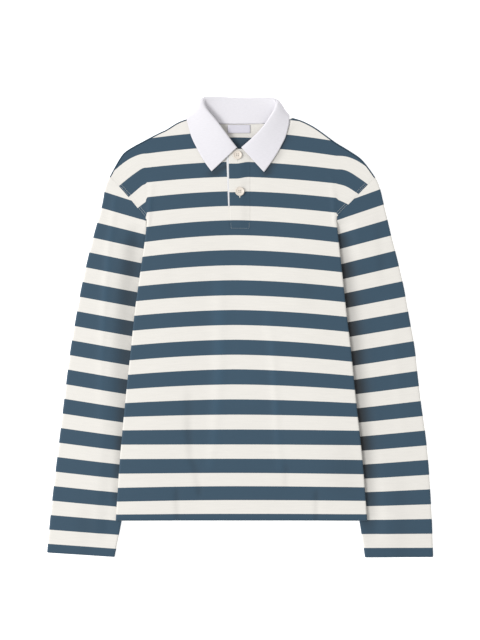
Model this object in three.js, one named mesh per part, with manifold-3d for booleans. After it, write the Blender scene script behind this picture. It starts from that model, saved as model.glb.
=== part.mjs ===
import * as THREE from 'three';
import { mergeVertices } from 'three/addons/utils/BufferGeometryUtils.js';
import Module from 'manifold-3d';

// A long-sleeved rugby shirt laid flat on its back, in millimetres.
// The surface it lies on is z = 0, the hem points to -Y and the collar to +Y.
// The origin is the middle of the shirt's box, on the surface.

const { smoothstep, lerp, degToRad, clamp } = THREE.MathUtils;

// Cloth thicknesses and the gap that parts two sewn pieces.
const JERSEY = 1.6;
const COLLAR_CLOTH = 1.4;
const PLACKET_CLOTH = 1.4;
const TAPE_CLOTH = 1;
const LABEL_CLOTH = 1;
const SEAM_GAP = 0.3;
const CORNER_GAP = 1;

// Heights of the laid layers, each from its lowest to its highest cloth.
const BODY_LOFT = 6;
const MOST_FLATTENING = 1.6;
const TUCKED_SLEEVE_LOFT = 3.9;
const EDGE_RADIUS = 2;

// How far the back is lifted by the sleeves tucked under it, and by the collar under its neck.
const SLEEVE_LIFT = 4.4;
const COLLAR_LIFT = 1.9;

// Angles round a folded edge: 0 at the outermost point, 90 on top, -90 underneath.
const TOP = 90;
const UNDERSIDE = -90;
const SHOULDER_SEAM = 75;
const HALF_SEAM = 10;

// Half the width of the body at each height, to the left and to the right of the centre.
const BODY_SIDES = [
  { y: -329, left: -211.5, right: 216 },
  { y: -226, left: -204.5, right: 208 },
  { y: -124, left: -195, right: 197 },
  { y: -40, left: -186, right: 188.5 },
  { y: 27, left: -179, right: 180.5 },
  { y: 88, left: -170.5, right: 174 },
  { y: 147, left: -162, right: 167.5 },
];

const ARMPIT = { left: [-158.4, 181.5], right: [163.8, 186.6] };
const SHOULDER_TIP = { left: [-222, 255.8], right: [230, 254.5] };
const NECK_POINT = { left: [-87, 350.5], right: [86.5, 352] };

// The shoulder's outline between its tip and the neck point.
const SHOULDER_LINE = {
  left: [
    [-204.5, 287],
    [-192.5, 300],
    [-163.5, 316.5],
    [-137.5, 330],
    [-126, 340],
    [-106, 350],
  ],
  right: [
    [208.5, 283],
    [187.5, 298.5],
    [163, 313.5],
    [139, 331],
    [124, 341],
    [105, 350.5],
  ],
};

const ARMHOLE_BOW = 2.5;
const CHEST_ROW_Y = 226;
const FRONT_NECK_Y = 302.5;
const BACK_NECK_Y = 344.5;

// Distance of the tucked sleeve's hidden edge from the centre line.
const TUCK_EDGE = [
  { y: -340, out: 202 },
  { y: -200, out: 174 },
  { y: -100, out: 150 },
  { y: 0, out: 127 },
  { y: 90, out: 115 },
  { y: 136, out: 121 },
  { y: 155, out: 135 },
  { y: 250, out: 138 },
];

// Sections of each sleeve from the armhole to the cuff: outer edge, inner edge, and the share
// of the body's lift that the section still has.
const SLEEVE_SECTIONS = {
  left: [
    { outX: -222, outY: 255.8, inX: -159.8, inY: 183.1, lifted: 1 },
    { outX: -226.7, outY: 246, inX: -161.6, inY: 174, lifted: 0.45 },
    { outX: -230.6, outY: 233, inX: -162.5, inY: 165, lifted: 0.05 },
    { outX: -233, outY: 217, inX: -163, inY: 157, lifted: 0 },
    { outX: -238.5, outY: 193, inX: -137, inY: 146, lifted: 0 },
    { outX: -247, outY: 164, inX: -121, inY: 136, lifted: 0 },
    { outX: -260, outY: 113.5, inX: -115.5, inY: 90, lifted: 0 },
    { outX: -271, outY: 63.5, inX: -120, inY: 40, lifted: 0 },
    { outX: -280, outY: 13.5, inX: -129.5, inY: -9, lifted: 0 },
    { outX: -288.5, outY: -36, inX: -140, inY: -58, lifted: 0 },
    { outX: -295, outY: -86, inX: -151, inY: -106, lifted: 0 },
    { outX: -301, outY: -135.5, inX: -162.5, inY: -153, lifted: 0 },
    { outX: -307, outY: -185.5, inX: -174, inY: -201, lifted: 0 },
    { outX: -313, outY: -234.5, inX: -185, inY: -247, lifted: 0 },
    { outX: -318.8, outY: -283.5, inX: -195.5, inY: -295, lifted: 0 },
    { outX: -324, outY: -332.5, inX: -203.8, inY: -342, lifted: 0 },
    { outX: -328.6, outY: -383.5, inX: -213.4, inY: -391, lifted: 0 },
  ],
  right: [
    { outX: 230, outY: 254.5, inX: 165.3, inY: 188.1, lifted: 1 },
    { outX: 235.5, outY: 243, inX: 167, inY: 179, lifted: 0.45 },
    { outX: 239.8, outY: 229, inX: 168, inY: 170, lifted: 0.05 },
    { outX: 243.5, outY: 213, inX: 168.6, inY: 161, lifted: 0 },
    { outX: 249.5, outY: 188, inX: 143, inY: 148, lifted: 0 },
    { outX: 256, outY: 160, inX: 126, inY: 137, lifted: 0 },
    { outX: 268, outY: 113, inX: 118, inY: 92, lifted: 0 },
    { outX: 279, outY: 65, inX: 121, inY: 43, lifted: 0 },
    { outX: 288, outY: 15, inX: 130, inY: -7, lifted: 0 },
    { outX: 297, outY: -35, inX: 140, inY: -56, lifted: 0 },
    { outX: 302.5, outY: -85, inX: 151, inY: -106, lifted: 0 },
    { outX: 308.5, outY: -135, inX: 162, inY: -152, lifted: 0 },
    { outX: 315.5, outY: -184, inX: 173, inY: -200, lifted: 0 },
    { outX: 320.5, outY: -233, inX: 184, inY: -246, lifted: 0 },
    { outX: 323.8, outY: -282, inX: 194.5, inY: -290, lifted: 0 },
    { outX: 326.5, outY: -331, inX: 203.5, inY: -335, lifted: 0 },
    { outX: 328.6, outY: -391, inX: 212.2, inY: -391.8, lifted: 0 },
  ],
};

// Long soft folds down the front: a ridge has a positive height, a trough a negative one.
const FRONT_FOLDS = [
  { x: -43, top: 62, bottom: -244, width: 16, height: 0.9 },
  { x: 55, top: 62, bottom: -244, width: 16, height: 0.9 },
  { x: -88, top: -190, bottom: -329, width: 12, height: -0.7 },
  { x: 96, top: -230, bottom: -329, width: 12, height: -0.7 },
];
const FOLD_FADE = 70;

// The collar's sections from its left end round the back to its right end. The sewn edge
// follows the neckline by the angle around, fold and edge are points, and tilt is the angle
// at which the cloth leaves the fold: 90 straight up, 0 outwards, -90 straight down. Bulge is
// how far the cloth arches past a straight line in that direction.
const COLLAR_SECTIONS = [
  { around: -3, fold: [-6, 304.5, 9], edge: [-48.5, 264.8, 7.9], tilt: 90, bulge: 1 },
  { around: -18, fold: [-15.6, 316.6, 11], edge: [-57.2, 276.3, 7.8], tilt: 90, bulge: 1 },
  { around: -35, fold: [-25.8, 330.2, 12.6], edge: [-65.7, 289.8, 7.8], tilt: 90, bulge: 1 },
  { around: -52, fold: [-36, 343.8, 13.6], edge: [-73.7, 304.7, 7.8], tilt: 85, bulge: 1 },
  { around: -66, fold: [-46.2, 356.6, 14.2], edge: [-81.9, 321.7, 7.8], tilt: 80, bulge: 1 },
  { around: -77, fold: [-54.7, 366.8, 14.3], edge: [-87, 338.7, 7.8], tilt: 70, bulge: 1.5 },
  { around: -86, fold: [-60, 375.4, 13.8], edge: [-90.6, 353.6, 7.4], tilt: 52, bulge: 3 },
  { around: -94, fold: [-61.8, 381, 12.6], edge: [-89.6, 359.4, 3.2], tilt: 30, bulge: 5 },
  { around: -106, fold: [-61.4, 387, 10.2], edge: [-79, 353.5, 0.7], tilt: -5, bulge: 8 },
  { around: -122, fold: [-55.5, 390.6, 6.8], edge: [-61, 344, 0.7], tilt: -50, bulge: 4 },
  { around: -140, fold: [-41, 391.1, 4.2], edge: [-42, 339, 0.7], tilt: -80, bulge: 0.5 },
  { around: -160, fold: [-20.7, 390, 3], edge: [-21, 336.5, 0.7], tilt: -90, bulge: 0 },
  { around: 180, fold: [-0.3, 389, 2.7], edge: [0, 335.5, 0.7], tilt: -90, bulge: 0 },
  { around: 160, fold: [20.7, 388.9, 3], edge: [21, 336.5, 0.7], tilt: -90, bulge: 0 },
  { around: 140, fold: [41, 389.1, 4.2], edge: [42, 339, 0.7], tilt: -80, bulge: 0.5 },
  { around: 122, fold: [54.5, 388.2, 6.8], edge: [61, 344, 0.7], tilt: -50, bulge: 4 },
  { around: 106, fold: [59.8, 384.8, 9.8], edge: [77, 353.5, 0.7], tilt: -5, bulge: 8 },
  { around: 94, fold: [60.6, 380, 11.8], edge: [84, 360.4, 3.2], tilt: 30, bulge: 5 },
  { around: 86, fold: [59.4, 374, 12.8], edge: [83.6, 353.6, 7.4], tilt: 52, bulge: 3 },
  { around: 77, fold: [55.5, 364.5, 13.3], edge: [81, 338.5, 7.8], tilt: 70, bulge: 1.5 },
  { around: 66, fold: [48.5, 353.5, 13.2], edge: [76.5, 322.5, 7.8], tilt: 80, bulge: 1 },
  { around: 52, fold: [40, 341, 12.8], edge: [69.5, 308, 7.8], tilt: 85, bulge: 1 },
  { around: 35, fold: [30, 329.5, 12], edge: [62, 294.5, 7.8], tilt: 90, bulge: 1 },
  { around: 18, fold: [17, 317, 10.8], edge: [51.5, 278.5, 7.8], tilt: 90, bulge: 1 },
  { around: 3, fold: [2.5, 304.5, 9], edge: [40.5, 263.6, 7.9], tilt: 90, bulge: 1 },
];
const NECK_CLEARANCE = 1.4;
const EDGE_PULL = 0.62;
const LEAF_CROWN = 0.4;
const STAND_BULGE = 0.3;
const COLLAR_STEPS = 5;
const FOLD_ANGLES = [0, 45, 90];
const FOLD_RADIUS = 2;
const FOLD_GAP = 0.4;

// The half placket, its tape, the slit under it, the label and the buttons.
const PLACKET = { topLeft: -19.6, bottomLeft: -17, right: 16.7, top: 301.4, bottom: 166 };
const TAPE = { topWidth: 3.4, bottomWidth: 2.2, bottom: 204.4 };
const SLIT = { x: -1, width: 2, bottom: 182 };
const LABEL = { left: -20.7, right: 16.7, top: 343, bottom: 330 };
const BUTTON_RADIUS = 7.75;
const BUTTON_HEIGHT = 2.6;
const BUTTON_RIM = 1.5;
const BUTTONS = [
  { name: 'button_top', x: -4.5, y: 292 },
  { name: 'button_second', x: -0.6, y: 230 },
];

const COLOURS = {
  jersey: 0x46586a,
  collar: 0xf0eef3,
  tape: 0xf4f2f2,
  label: 0xeeecf0,
  button: 0xefe6d5,
};

// Value of a column at a height, on straight lines between the rows of a table.
function readTable(table, column, y) {
  const rows = [...table].sort((a, b) => a.y - b.y);
  const last = rows.length - 1;
  if (y <= rows[0].y) return rows[0][column];
  if (y >= rows[last].y) return rows[last][column];
  const next = rows.findIndex((row) => row.y > y);
  const share = (y - rows[next - 1].y) / (rows[next].y - rows[next - 1].y);
  return lerp(rows[next - 1][column], rows[next][column], share);
}

// How far the sleeve tucked under one side lifts the back.
function sleeveLift(x, y) {
  const out = Math.abs(x);
  const [armpitX, armpitY] = ARMPIT[x < 0 ? 'left' : 'right'];
  const foldLine = Math.abs(armpitX);
  const edge = readTable(TUCK_EDGE, 'out', y);
  const acrossEdge = smoothstep(out, edge - 52, edge - 18);
  const belowChest = 1 - smoothstep(y, armpitY - 16, armpitY + 34);
  const insideFold = y > armpitY ? 1 - smoothstep(out, foldLine - 1, foldLine + 12) : 1;
  return SLEEVE_LIFT * acrossEdge * belowChest * insideFold;
}

// How far the collar's hidden back part lifts the back's neck.
function collarLift(x, y) {
  return COLLAR_LIFT * smoothstep(y, 300, 322) * (1 - smoothstep(Math.abs(x), 96, 116));
}

const lift = (x, y) => sleeveLift(x, y) + collarLift(x, y);
const bodyLoft = (x, y) => BODY_LOFT - Math.min(lift(x, y), MOST_FLATTENING);

// Height that the long soft folds add to the front.
function foldHeight(x, y) {
  return FRONT_FOLDS.reduce((height, fold) => {
    const across = Math.exp(-(((x - fold.x) / fold.width) ** 2));
    const along = smoothstep(y, fold.bottom - 1, fold.bottom + FOLD_FADE)
      * (1 - smoothstep(y, fold.top - FOLD_FADE, fold.top));
    return height + fold.height * across * along;
  }, 0);
}

const frontTop = (x, y) => lift(x, y) + bodyLoft(x, y) + foldHeight(x, y);

// Height of the middle of the body's cloth at an angle round its edge.
function bodyHeight(x, y, angle) {
  const half = (bodyLoft(x, y) - JERSEY) / 2;
  const fold = angle > 0 ? foldHeight(x, y) * Math.sin(degToRad(angle)) : 0;
  return lift(x, y) + bodyLoft(x, y) / 2 + half * Math.sin(degToRad(angle)) + fold;
}

const plan = ([x, y]) => new THREE.Vector2(x, y);

// The armhole seam from the armpit, share 0, to the shoulder tip, share 1.
function armholePoint(side, share) {
  const armpit = plan(ARMPIT[side]);
  const tip = plan(SHOULDER_TIP[side]);
  const along = tip.clone().sub(armpit).normalize();
  const bodyward = side === 'left' ? [along.y, -along.x] : [-along.y, along.x];
  return armpit.lerp(tip, share).addScaledVector(plan(bodyward), ARMHOLE_BOW * Math.sin(Math.PI * share));
}

// Unit vector in the plan that points from the armhole seam into the body.
function intoBody(side) {
  const along = plan(SHOULDER_TIP[side]).sub(plan(ARMPIT[side])).normalize();
  return side === 'left' ? new THREE.Vector2(along.y, -along.x) : new THREE.Vector2(-along.y, along.x);
}

const roundedInset = (angle) => EDGE_RADIUS * (1 - Math.cos(degToRad(angle)));

// Stations up one side of a body panel, from the hem to the neck. Each has the point where
// the row starts, the angle round the edge there and the way into the body.
const SIDE_ROWS = 13;
const SEAM_ROWS = 4;
const SHOULDER_ROWS = 8;

function stations(side, face) {
  const inward = new THREE.Vector2(side === 'left' ? 1 : -1, 0);
  const flat = face * TOP;
  const start = face * HALF_SEAM;
  const list = [];
  const edge = new THREE.SplineCurve([
    ...BODY_SIDES.map((row) => new THREE.Vector2(row[side], row.y)),
    plan(ARMPIT[side]),
  ]);
  for (let i = 0; i < SIDE_ROWS; i += 1) {
    const share = 1 - (1 - i / SIDE_ROWS) ** 1.5;
    const point = edge.getPointAt(share).addScaledVector(inward, JERSEY / 2);
    list.push({ part: 'side', point, angle: start, inward });
  }
  const seamLength = plan(ARMPIT[side]).distanceTo(plan(SHOULDER_TIP[side]));
  const seamIn = intoBody(side);
  const firstShare = JERSEY / 2 / seamLength;
  const onSeam = (part, share, angle, way, clearance = SEAM_GAP) => list.push({
    part,
    point: armholePoint(side, share).addScaledVector(seamIn, clearance),
    angle,
    inward: way.clone().normalize(),
  });
  const cornerShare = (angle) => (JERSEY / 2 + roundedInset(angle)) / seamLength;
  const atArmpit = inward.clone().multiplyScalar(2).add(seamIn);
  onSeam('side', firstShare, start, atArmpit, CORNER_GAP);
  onSeam('seam', cornerShare(45), face * 45, atArmpit, CORNER_GAP);
  for (let i = 0; i <= SEAM_ROWS; i += 1) {
    const share = lerp(cornerShare(TOP), 1 - cornerShare(TOP), i / SEAM_ROWS);
    onSeam('seam', share, flat, i === 0 ? atArmpit : seamIn);
  }
  const shoulderAngle = SHOULDER_SEAM + face * HALF_SEAM;
  const tipAngles = face > 0 ? [shoulderAngle] : [-45, 0, 45, shoulderAngle];
  const shoulder = new THREE.SplineCurve([
    plan(SHOULDER_TIP[side]),
    ...SHOULDER_LINE[side].map(plan),
    plan(NECK_POINT[side]),
  ]);
  tipAngles.forEach((angle, i) => {
    const way = inward.clone().multiplyScalar(2).add(seamIn.clone().multiplyScalar(1 - i / tipAngles.length));
    const part = angle === shoulderAngle ? 'shoulder' : 'seam';
    onSeam(part, 1 - cornerShare(angle), angle, way, CORNER_GAP);
  });
  for (let i = 1; i <= SHOULDER_ROWS; i += 1) {
    const share = i / SHOULDER_ROWS;
    const along = shoulder.getTangentAt(share);
    const way = side === 'left' ? new THREE.Vector2(along.y, -along.x) : new THREE.Vector2(-along.y, along.x);
    const inset = JERSEY / 2 + roundedInset(shoulderAngle);
    const point = shoulder.getPointAt(share).addScaledVector(way, inset);
    list.push({ part: 'shoulder', point, angle: shoulderAngle, inward: way });
  }
  return list;
}

// Points at one end of a row, from the station round the edge to the flat of the panel.
const END_STEP = 0.7;

function rowEnd(station, face, count) {
  const flat = face * TOP;
  const points = [];
  for (let k = 0; k < count; k += 1) {
    const angle = lerp(station.angle, flat, k / (count - 1));
    const inset = EDGE_RADIUS * (Math.cos(degToRad(station.angle)) - Math.cos(degToRad(angle)));
    const spread = k * END_STEP * (1 - smoothstep(Math.abs(flat - station.angle), 0, 60));
    const point = station.point.clone().addScaledVector(station.inward, inset + spread);
    points.push(new THREE.Vector3(point.x, point.y, bodyHeight(point.x, point.y, angle)));
  }
  return points;
}

// Shares across a row between its two ends, closer together over the tucked sleeves.
const ACROSS = [0.03, 0.07, 0.11, 0.15, 0.2, 0.26, 0.35, 0.45, 0.55, 0.65, 0.74, 0.8, 0.85, 0.89, 0.93, 0.97];

// Middle points of a body panel, rows from the hem to the neckline. Face is 1 for the front
// and -1 for the back. A row is a chord between its ends plus a sag shaped as half an ellipse.
function panelRows(face, neckY) {
  const left = stations('left', face);
  const right = stations('right', face);
  const endCount = face > 0 ? 4 : 7;
  const armpitRow = left.findIndex((station) => station.part === 'seam') - 1;
  const tipRow = left.findIndex((station) => station.part === 'shoulder');
  const neckRow = left.length - 1;
  const armpitY = (left[armpitRow].point.y + right[armpitRow].point.y) / 2;
  return left.map((station, i) => {
    const leftEnd = rowEnd(station, face, endCount);
    const rightEnd = rowEnd(right[i], face, endCount).reverse();
    const from = leftEnd[endCount - 1];
    const to = rightEnd[0];
    let middleY = (from.y + to.y) / 2;
    if (i > armpitRow) middleY = lerp(armpitY, CHEST_ROW_Y, (i - armpitRow) / (tipRow - armpitRow));
    if (i > tipRow) middleY = lerp(CHEST_ROW_Y, neckY, (i - tipRow) / (neckRow - tipRow));
    const sag = middleY - (from.y + to.y) / 2;
    const middle = ACROSS.map((share) => {
      const x = lerp(from.x, to.x, share);
      const y = lerp(from.y, to.y, share) + sag * Math.sqrt(1 - (2 * share - 1) ** 2);
      return new THREE.Vector3(x, y, bodyHeight(x, y, face * TOP));
    });
    return [...leftEnd, ...middle, ...rightEnd];
  });
}

// Direction of a line of points at one of them. At an end it follows the line's bend.
function tangentAt(points, k, closed) {
  const last = points.length - 1;
  const at = (n) => points[closed ? (n + points.length) % points.length : n];
  const inside = k > 0 && k < last;
  if (closed || inside || last < 2) {
    return at(closed ? k + 1 : Math.min(k + 1, last)).clone().sub(at(closed ? k - 1 : Math.max(k - 1, 0)));
  }
  const step = k === 0 ? 1 : -1;
  const near = at(k + step).clone().sub(at(k));
  const far = at(k + 2 * step).clone().sub(at(k + step));
  const share = near.length() / (near.length() + far.length());
  return near.normalize().multiplyScalar(1 + share).addScaledVector(far.normalize(), -share).multiplyScalar(step);
}

// Unit normals of a grid of points, from its directions along rows and columns.
function gridNormals(rows, closed) {
  const columns = rows[0].map((_, j) => rows.map((row) => row[j]));
  return rows.map((row, i) => row.map((_, j) => {
    const along = tangentAt(columns[j], i, false);
    return tangentAt(row, j, closed).cross(along).normalize();
  }));
}

// A closed wall of even thickness round a grid of middle points. In a closed grid the last
// column meets the first, as round a sleeve.
function clothWall(rows, thickness, closed = false) {
  const rowCount = rows.length;
  const columnCount = rows[0].length;
  const normals = gridNormals(rows, closed);
  const positions = [];
  [0.5, -0.5].forEach((side) => rows.forEach((row, i) => row.forEach((point, j) => {
    positions.push(...point.clone().addScaledVector(normals[i][j], side * thickness).toArray());
  })));
  const triangles = [];
  const quad = (a, b, c, d) => triangles.push(a, b, c, a, c, d);
  const outer = (i, j) => i * columnCount + (j % columnCount);
  const inner = (i, j) => rowCount * columnCount + outer(i, j);
  const columnSteps = closed ? columnCount : columnCount - 1;
  for (let j = 0; j < columnSteps; j += 1) {
    for (let i = 0; i < rowCount - 1; i += 1) {
      quad(outer(i, j), outer(i, j + 1), outer(i + 1, j + 1), outer(i + 1, j));
      quad(inner(i, j), inner(i + 1, j), inner(i + 1, j + 1), inner(i, j + 1));
    }
    const last = rowCount - 1;
    quad(outer(0, j), inner(0, j), inner(0, j + 1), outer(0, j + 1));
    quad(outer(last, j), outer(last, j + 1), inner(last, j + 1), inner(last, j));
  }
  if (!closed) {
    const last = columnCount - 1;
    for (let i = 0; i < rowCount - 1; i += 1) {
      quad(outer(i, 0), outer(i + 1, 0), inner(i + 1, 0), inner(i, 0));
      quad(outer(i, last), inner(i, last), inner(i + 1, last), outer(i + 1, last));
    }
  }
  const geometry = new THREE.BufferGeometry();
  geometry.setAttribute('position', new THREE.Float32BufferAttribute(positions, 3));
  geometry.setIndex(triangles);
  return geometry;
}

// Columns round a sleeve: the share across from its +X end, and the angle round the edge.
const SLEEVE_ACROSS = [0.12, 0.26, 0.42, 0.6, 0.8];

function sleeveColumns() {
  const top = SLEEVE_ACROSS.map((share) => ({ share, angle: TOP }));
  const under = SLEEVE_ACROSS.map((share) => ({ share: 1 - share, angle: UNDERSIDE }));
  const rightEdge = [-45, 0, 45, 90].map((angle) => ({ share: 0, angle }));
  const leftEdge = [90, 45, 0, -45, -90].map((angle) => ({ share: 1, angle }));
  return [...rightEdge, ...top, ...leftEdge, ...under, { share: 0, angle: UNDERSIDE }];
}

// Total height of the sleeve at a place: flatter where the body lies on it.
function sleeveLoft(side, x, y) {
  const bodyEdge = Math.abs(readTable([...BODY_SIDES, { y: ARMPIT[side][1], [side]: ARMPIT[side][0] }], side, y));
  const underBody = 1 - smoothstep(Math.abs(x), bodyEdge + 12, bodyEdge + 36);
  const aboveHem = smoothstep(y, -375, -344);
  const belowArmpit = 1 - smoothstep(y, ARMPIT[side][1] - 14, ARMPIT[side][1]);
  return lerp(BODY_LOFT, TUCKED_SLEEVE_LOFT, underBody * aboveHem * belowArmpit);
}

// Middle points of a sleeve, one closed section a row from the armhole to the cuff.
function sleeveRows(side) {
  const awayFromBody = intoBody(side).negate();
  return SLEEVE_SECTIONS[side].map((section, i) => {
    const outer = new THREE.Vector2(section.outX, section.outY);
    const inner = new THREE.Vector2(section.inX, section.inY);
    const [start, end] = side === 'left' ? [inner, outer] : [outer, inner];
    const width = start.distanceTo(end);
    const bow = Math.max(0, 1 - i / 3);
    return sleeveColumns().map(({ share, angle }) => {
      const inset = JERSEY / 2 + roundedInset(angle);
      const along = lerp(inset, width - inset, share) / width;
      const point = start.clone().lerp(end, along);
      const bowed = -ARMHOLE_BOW * bow * Math.sin(Math.PI * along) + SEAM_GAP * (i === 0 ? 1 : 0);
      point.addScaledVector(awayFromBody, bowed);
      const base = lift(point.x, point.y) * section.lifted;
      const ownLoft = sleeveLoft(side, point.x, point.y);
      const loft = lerp(ownLoft, bodyLoft(point.x, point.y), section.lifted);
      const z = base + loft / 2 + ((loft - JERSEY) / 2) * Math.sin(degToRad(angle));
      return new THREE.Vector3(point.x, point.y, z);
    });
  });
}

// The neckline as two half ellipses, by the angle around from the centre front.
const NECK_CENTRE = {
  x: (NECK_POINT.left[0] + NECK_POINT.right[0]) / 2,
  y: (NECK_POINT.left[1] + NECK_POINT.right[1]) / 2,
};

function neckSeam(around) {
  const angle = degToRad(around);
  const across = (NECK_POINT.right[0] - NECK_POINT.left[0]) / 2 - NECK_CLEARANCE;
  const isFront = Math.cos(angle) > 0;
  const depth = NECK_CENTRE.y - (isFront ? FRONT_NECK_Y : BACK_NECK_Y) - NECK_CLEARANCE;
  const x = NECK_CENTRE.x + across * Math.sin(angle);
  const y = NECK_CENTRE.y - depth * Math.abs(Math.cos(angle));
  const backZ = COLLAR_LIFT + JERSEY / 2;
  const frontZ = BODY_LOFT - JERSEY / 2;
  return new THREE.Vector3(x, y, lerp(backZ, frontZ, smoothstep(Math.cos(angle), -0.35, 0.35)));
}

// Where the cloth heads as it leaves the fold of section i.
function foldDirection(i) {
  const { tilt } = COLLAR_SECTIONS[i];
  const before = COLLAR_SECTIONS[Math.max(i - 1, 0)].fold;
  const after = COLLAR_SECTIONS[Math.min(i + 1, COLLAR_SECTIONS.length - 1)].fold;
  const outward = new THREE.Vector3(before[1] - after[1], after[0] - before[0], 0).normalize();
  const up = Math.sin(degToRad(tilt));
  return outward.multiplyScalar(Math.cos(degToRad(tilt))).add(new THREE.Vector3(0, 0, up));
}

// Points from the crest of the fold along a curve that starts one radius off it. The first
// stretch bends round a quarter circle, and the rest lies evenly on the curve.
function foldedPoints(direction, radius, curve) {
  const length = curve.getLength();
  const bend = FOLD_ANGLES.map((angle) => radius * (1 - Math.cos(degToRad(angle))));
  const rest = Array.from({ length: COLLAR_STEPS }, (_, k) => lerp(radius, length, (k + 1) / COLLAR_STEPS));
  return [...bend, ...rest].map((distance) => {
    const short = 1 - Math.min(1, distance / radius);
    const lag = radius * (1 - Math.sqrt(1 - short * short));
    return curve.getPointAt(distance / length).addScaledVector(direction, -lag);
  });
}

// The turned-down part, each row from the fold to the free edge.
function fallRows() {
  return COLLAR_SECTIONS.map((section, i) => {
    const direction = foldDirection(i);
    const start = new THREE.Vector3(...section.fold).addScaledVector(direction, FOLD_RADIUS + FOLD_GAP / 2);
    const edge = new THREE.Vector3(...section.edge);
    const leaving = start.clone().lerp(edge, 0.2).addScaledVector(direction, section.bulge);
    const arriving = edge.clone().lerp(leaving, EDGE_PULL);
    const crown = Math.max(0, Math.sin(degToRad(section.tilt))) * LEAF_CROWN;
    arriving.z = edge.z + crown * (start.z - edge.z);
    const curve = new THREE.CubicBezierCurve3(start, leaving, arriving, edge);
    const points = foldedPoints(direction, FOLD_RADIUS, curve);
    points.forEach((point) => point.setZ(Math.max(point.z, COLLAR_CLOTH / 2)));
    return points;
  });
}

// The stand, each row from the sewn edge to the fold.
function standRows() {
  return COLLAR_SECTIONS.map((section, i) => {
    const direction = foldDirection(i).negate();
    const start = new THREE.Vector3(...section.fold).addScaledVector(direction, FOLD_RADIUS + FOLD_GAP / 2);
    const neck = neckSeam(section.around);
    const leaving = start.clone().lerp(neck, 0.3).addScaledVector(direction, section.bulge * STAND_BULGE);
    const arriving = neck.clone().lerp(leaving, 0.4);
    arriving.z = neck.z;
    const curve = new THREE.CubicBezierCurve3(start, leaving, arriving, neck);
    return foldedPoints(direction, FOLD_RADIUS, curve).reverse();
  });
}

// A flat strip that follows a surface. Each row has its height y and its left and right ends.
function stripRows(ends, columns, surface, above) {
  return ends.map(({ y, left, right }) => Array.from({ length: columns }, (_, j) => {
    const x = lerp(left, right, j / (columns - 1));
    return new THREE.Vector3(x, y, surface(x, y) + above);
  }));
}

function placketLeft(y) {
  return lerp(PLACKET.bottomLeft, PLACKET.topLeft, (y - PLACKET.bottom) / (PLACKET.top - PLACKET.bottom));
}

function placketRows() {
  const ends = Array.from({ length: 9 }, (_, i) => {
    const y = lerp(PLACKET.bottom, PLACKET.top, i / 8);
    return { y, left: placketLeft(y), right: PLACKET.right };
  });
  return stripRows(ends, 4, frontTop, SEAM_GAP + PLACKET_CLOTH / 2);
}

function tapeRows() {
  const ends = Array.from({ length: 7 }, (_, i) => {
    const share = i / 6;
    const y = lerp(TAPE.bottom, PLACKET.top, share);
    const right = placketLeft(y) - SEAM_GAP;
    return { y, left: right - lerp(TAPE.bottomWidth, TAPE.topWidth, share), right };
  });
  return stripRows(ends, 2, frontTop, SEAM_GAP + TAPE_CLOTH / 2);
}

function labelRows() {
  const backInside = (x, y) => lift(x, y) + JERSEY;
  const ends = [LABEL.bottom, (LABEL.bottom + LABEL.top) / 2, LABEL.top].map((y) => (
    { y, left: LABEL.left, right: LABEL.right }));
  return stripRows(ends, 4, backInside, SEAM_GAP + LABEL_CLOTH / 2);
}

// A shirt button: a disc with a raised rim round a shallow well.
function buttonGeometry() {
  const r = BUTTON_RADIUS;
  const h = BUTTON_HEIGHT;
  const outline = [
    [0, 0],
    [r - 1, 0],
    [r, h * 0.35],
    [r - 0.3, h * 0.8],
    [r - BUTTON_RIM / 2, h],
    [r - BUTTON_RIM, h * 0.85],
    [r - BUTTON_RIM - 1, h * 0.6],
    [0, h * 0.6],
  ].map(plan);
  const geometry = new THREE.LatheGeometry(outline, 24).rotateX(Math.PI / 2);
  return geometry;
}

// Booleans.
const manifold = await Module();
manifold.setup();

function toSolid(geometry) {
  const bare = geometry.clone();
  ['normal', 'uv'].filter((name) => bare.getAttribute(name)).forEach((name) => bare.deleteAttribute(name));
  const merged = mergeVertices(bare);
  const mesh = new manifold.Mesh({
    numProp: 3,
    vertProperties: new Float32Array(merged.getAttribute('position').array),
    triVerts: new Uint32Array(merged.index.array),
  });
  return new manifold.Manifold(mesh);
}

function toGeometry(solid) {
  const mesh = solid.getMesh();
  const geometry = new THREE.BufferGeometry();
  geometry.setAttribute('position', new THREE.Float32BufferAttribute(mesh.vertProperties, 3));
  geometry.setIndex([...mesh.triVerts]);
  return geometry;
}

// The front with its slit, which runs from the neckline down behind the placket.
function frontGeometry() {
  const depth = 40;
  const length = FRONT_NECK_Y + 10 - SLIT.bottom;
  const knife = new THREE.BoxGeometry(SLIT.width, length, depth);
  knife.translate(SLIT.x, SLIT.bottom + length / 2, 0);
  return toGeometry(toSolid(clothWall(panelRows(1, FRONT_NECK_Y), JERSEY)).subtract(toSolid(knife)));
}

const shirt = new THREE.Group();

function addPiece(name, geometry, color, roughness = 0.9) {
  geometry.computeVertexNormals();
  const piece = new THREE.Mesh(geometry, new THREE.MeshStandardMaterial({ color, roughness, metalness: 0 }));
  piece.name = name;
  shirt.add(piece);
  return piece;
}

addPiece('back', clothWall(panelRows(-1, BACK_NECK_Y), JERSEY), COLOURS.jersey);
addPiece('front', frontGeometry(), COLOURS.jersey);
addPiece('sleeve_left', clothWall(sleeveRows('left'), JERSEY, true), COLOURS.jersey);
addPiece('sleeve_right', clothWall(sleeveRows('right'), JERSEY, true), COLOURS.jersey);
addPiece('collar_stand', clothWall(standRows(), COLLAR_CLOTH), COLOURS.collar, 0.8);
addPiece('collar_fall', clothWall(fallRows(), COLLAR_CLOTH), COLOURS.collar, 0.8);
addPiece('placket', clothWall(placketRows(), PLACKET_CLOTH), COLOURS.jersey);
addPiece('placket_tape', clothWall(tapeRows(), TAPE_CLOTH), COLOURS.tape, 0.8);
addPiece('label', clothWall(labelRows(), LABEL_CLOTH), COLOURS.label, 0.7);

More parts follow.
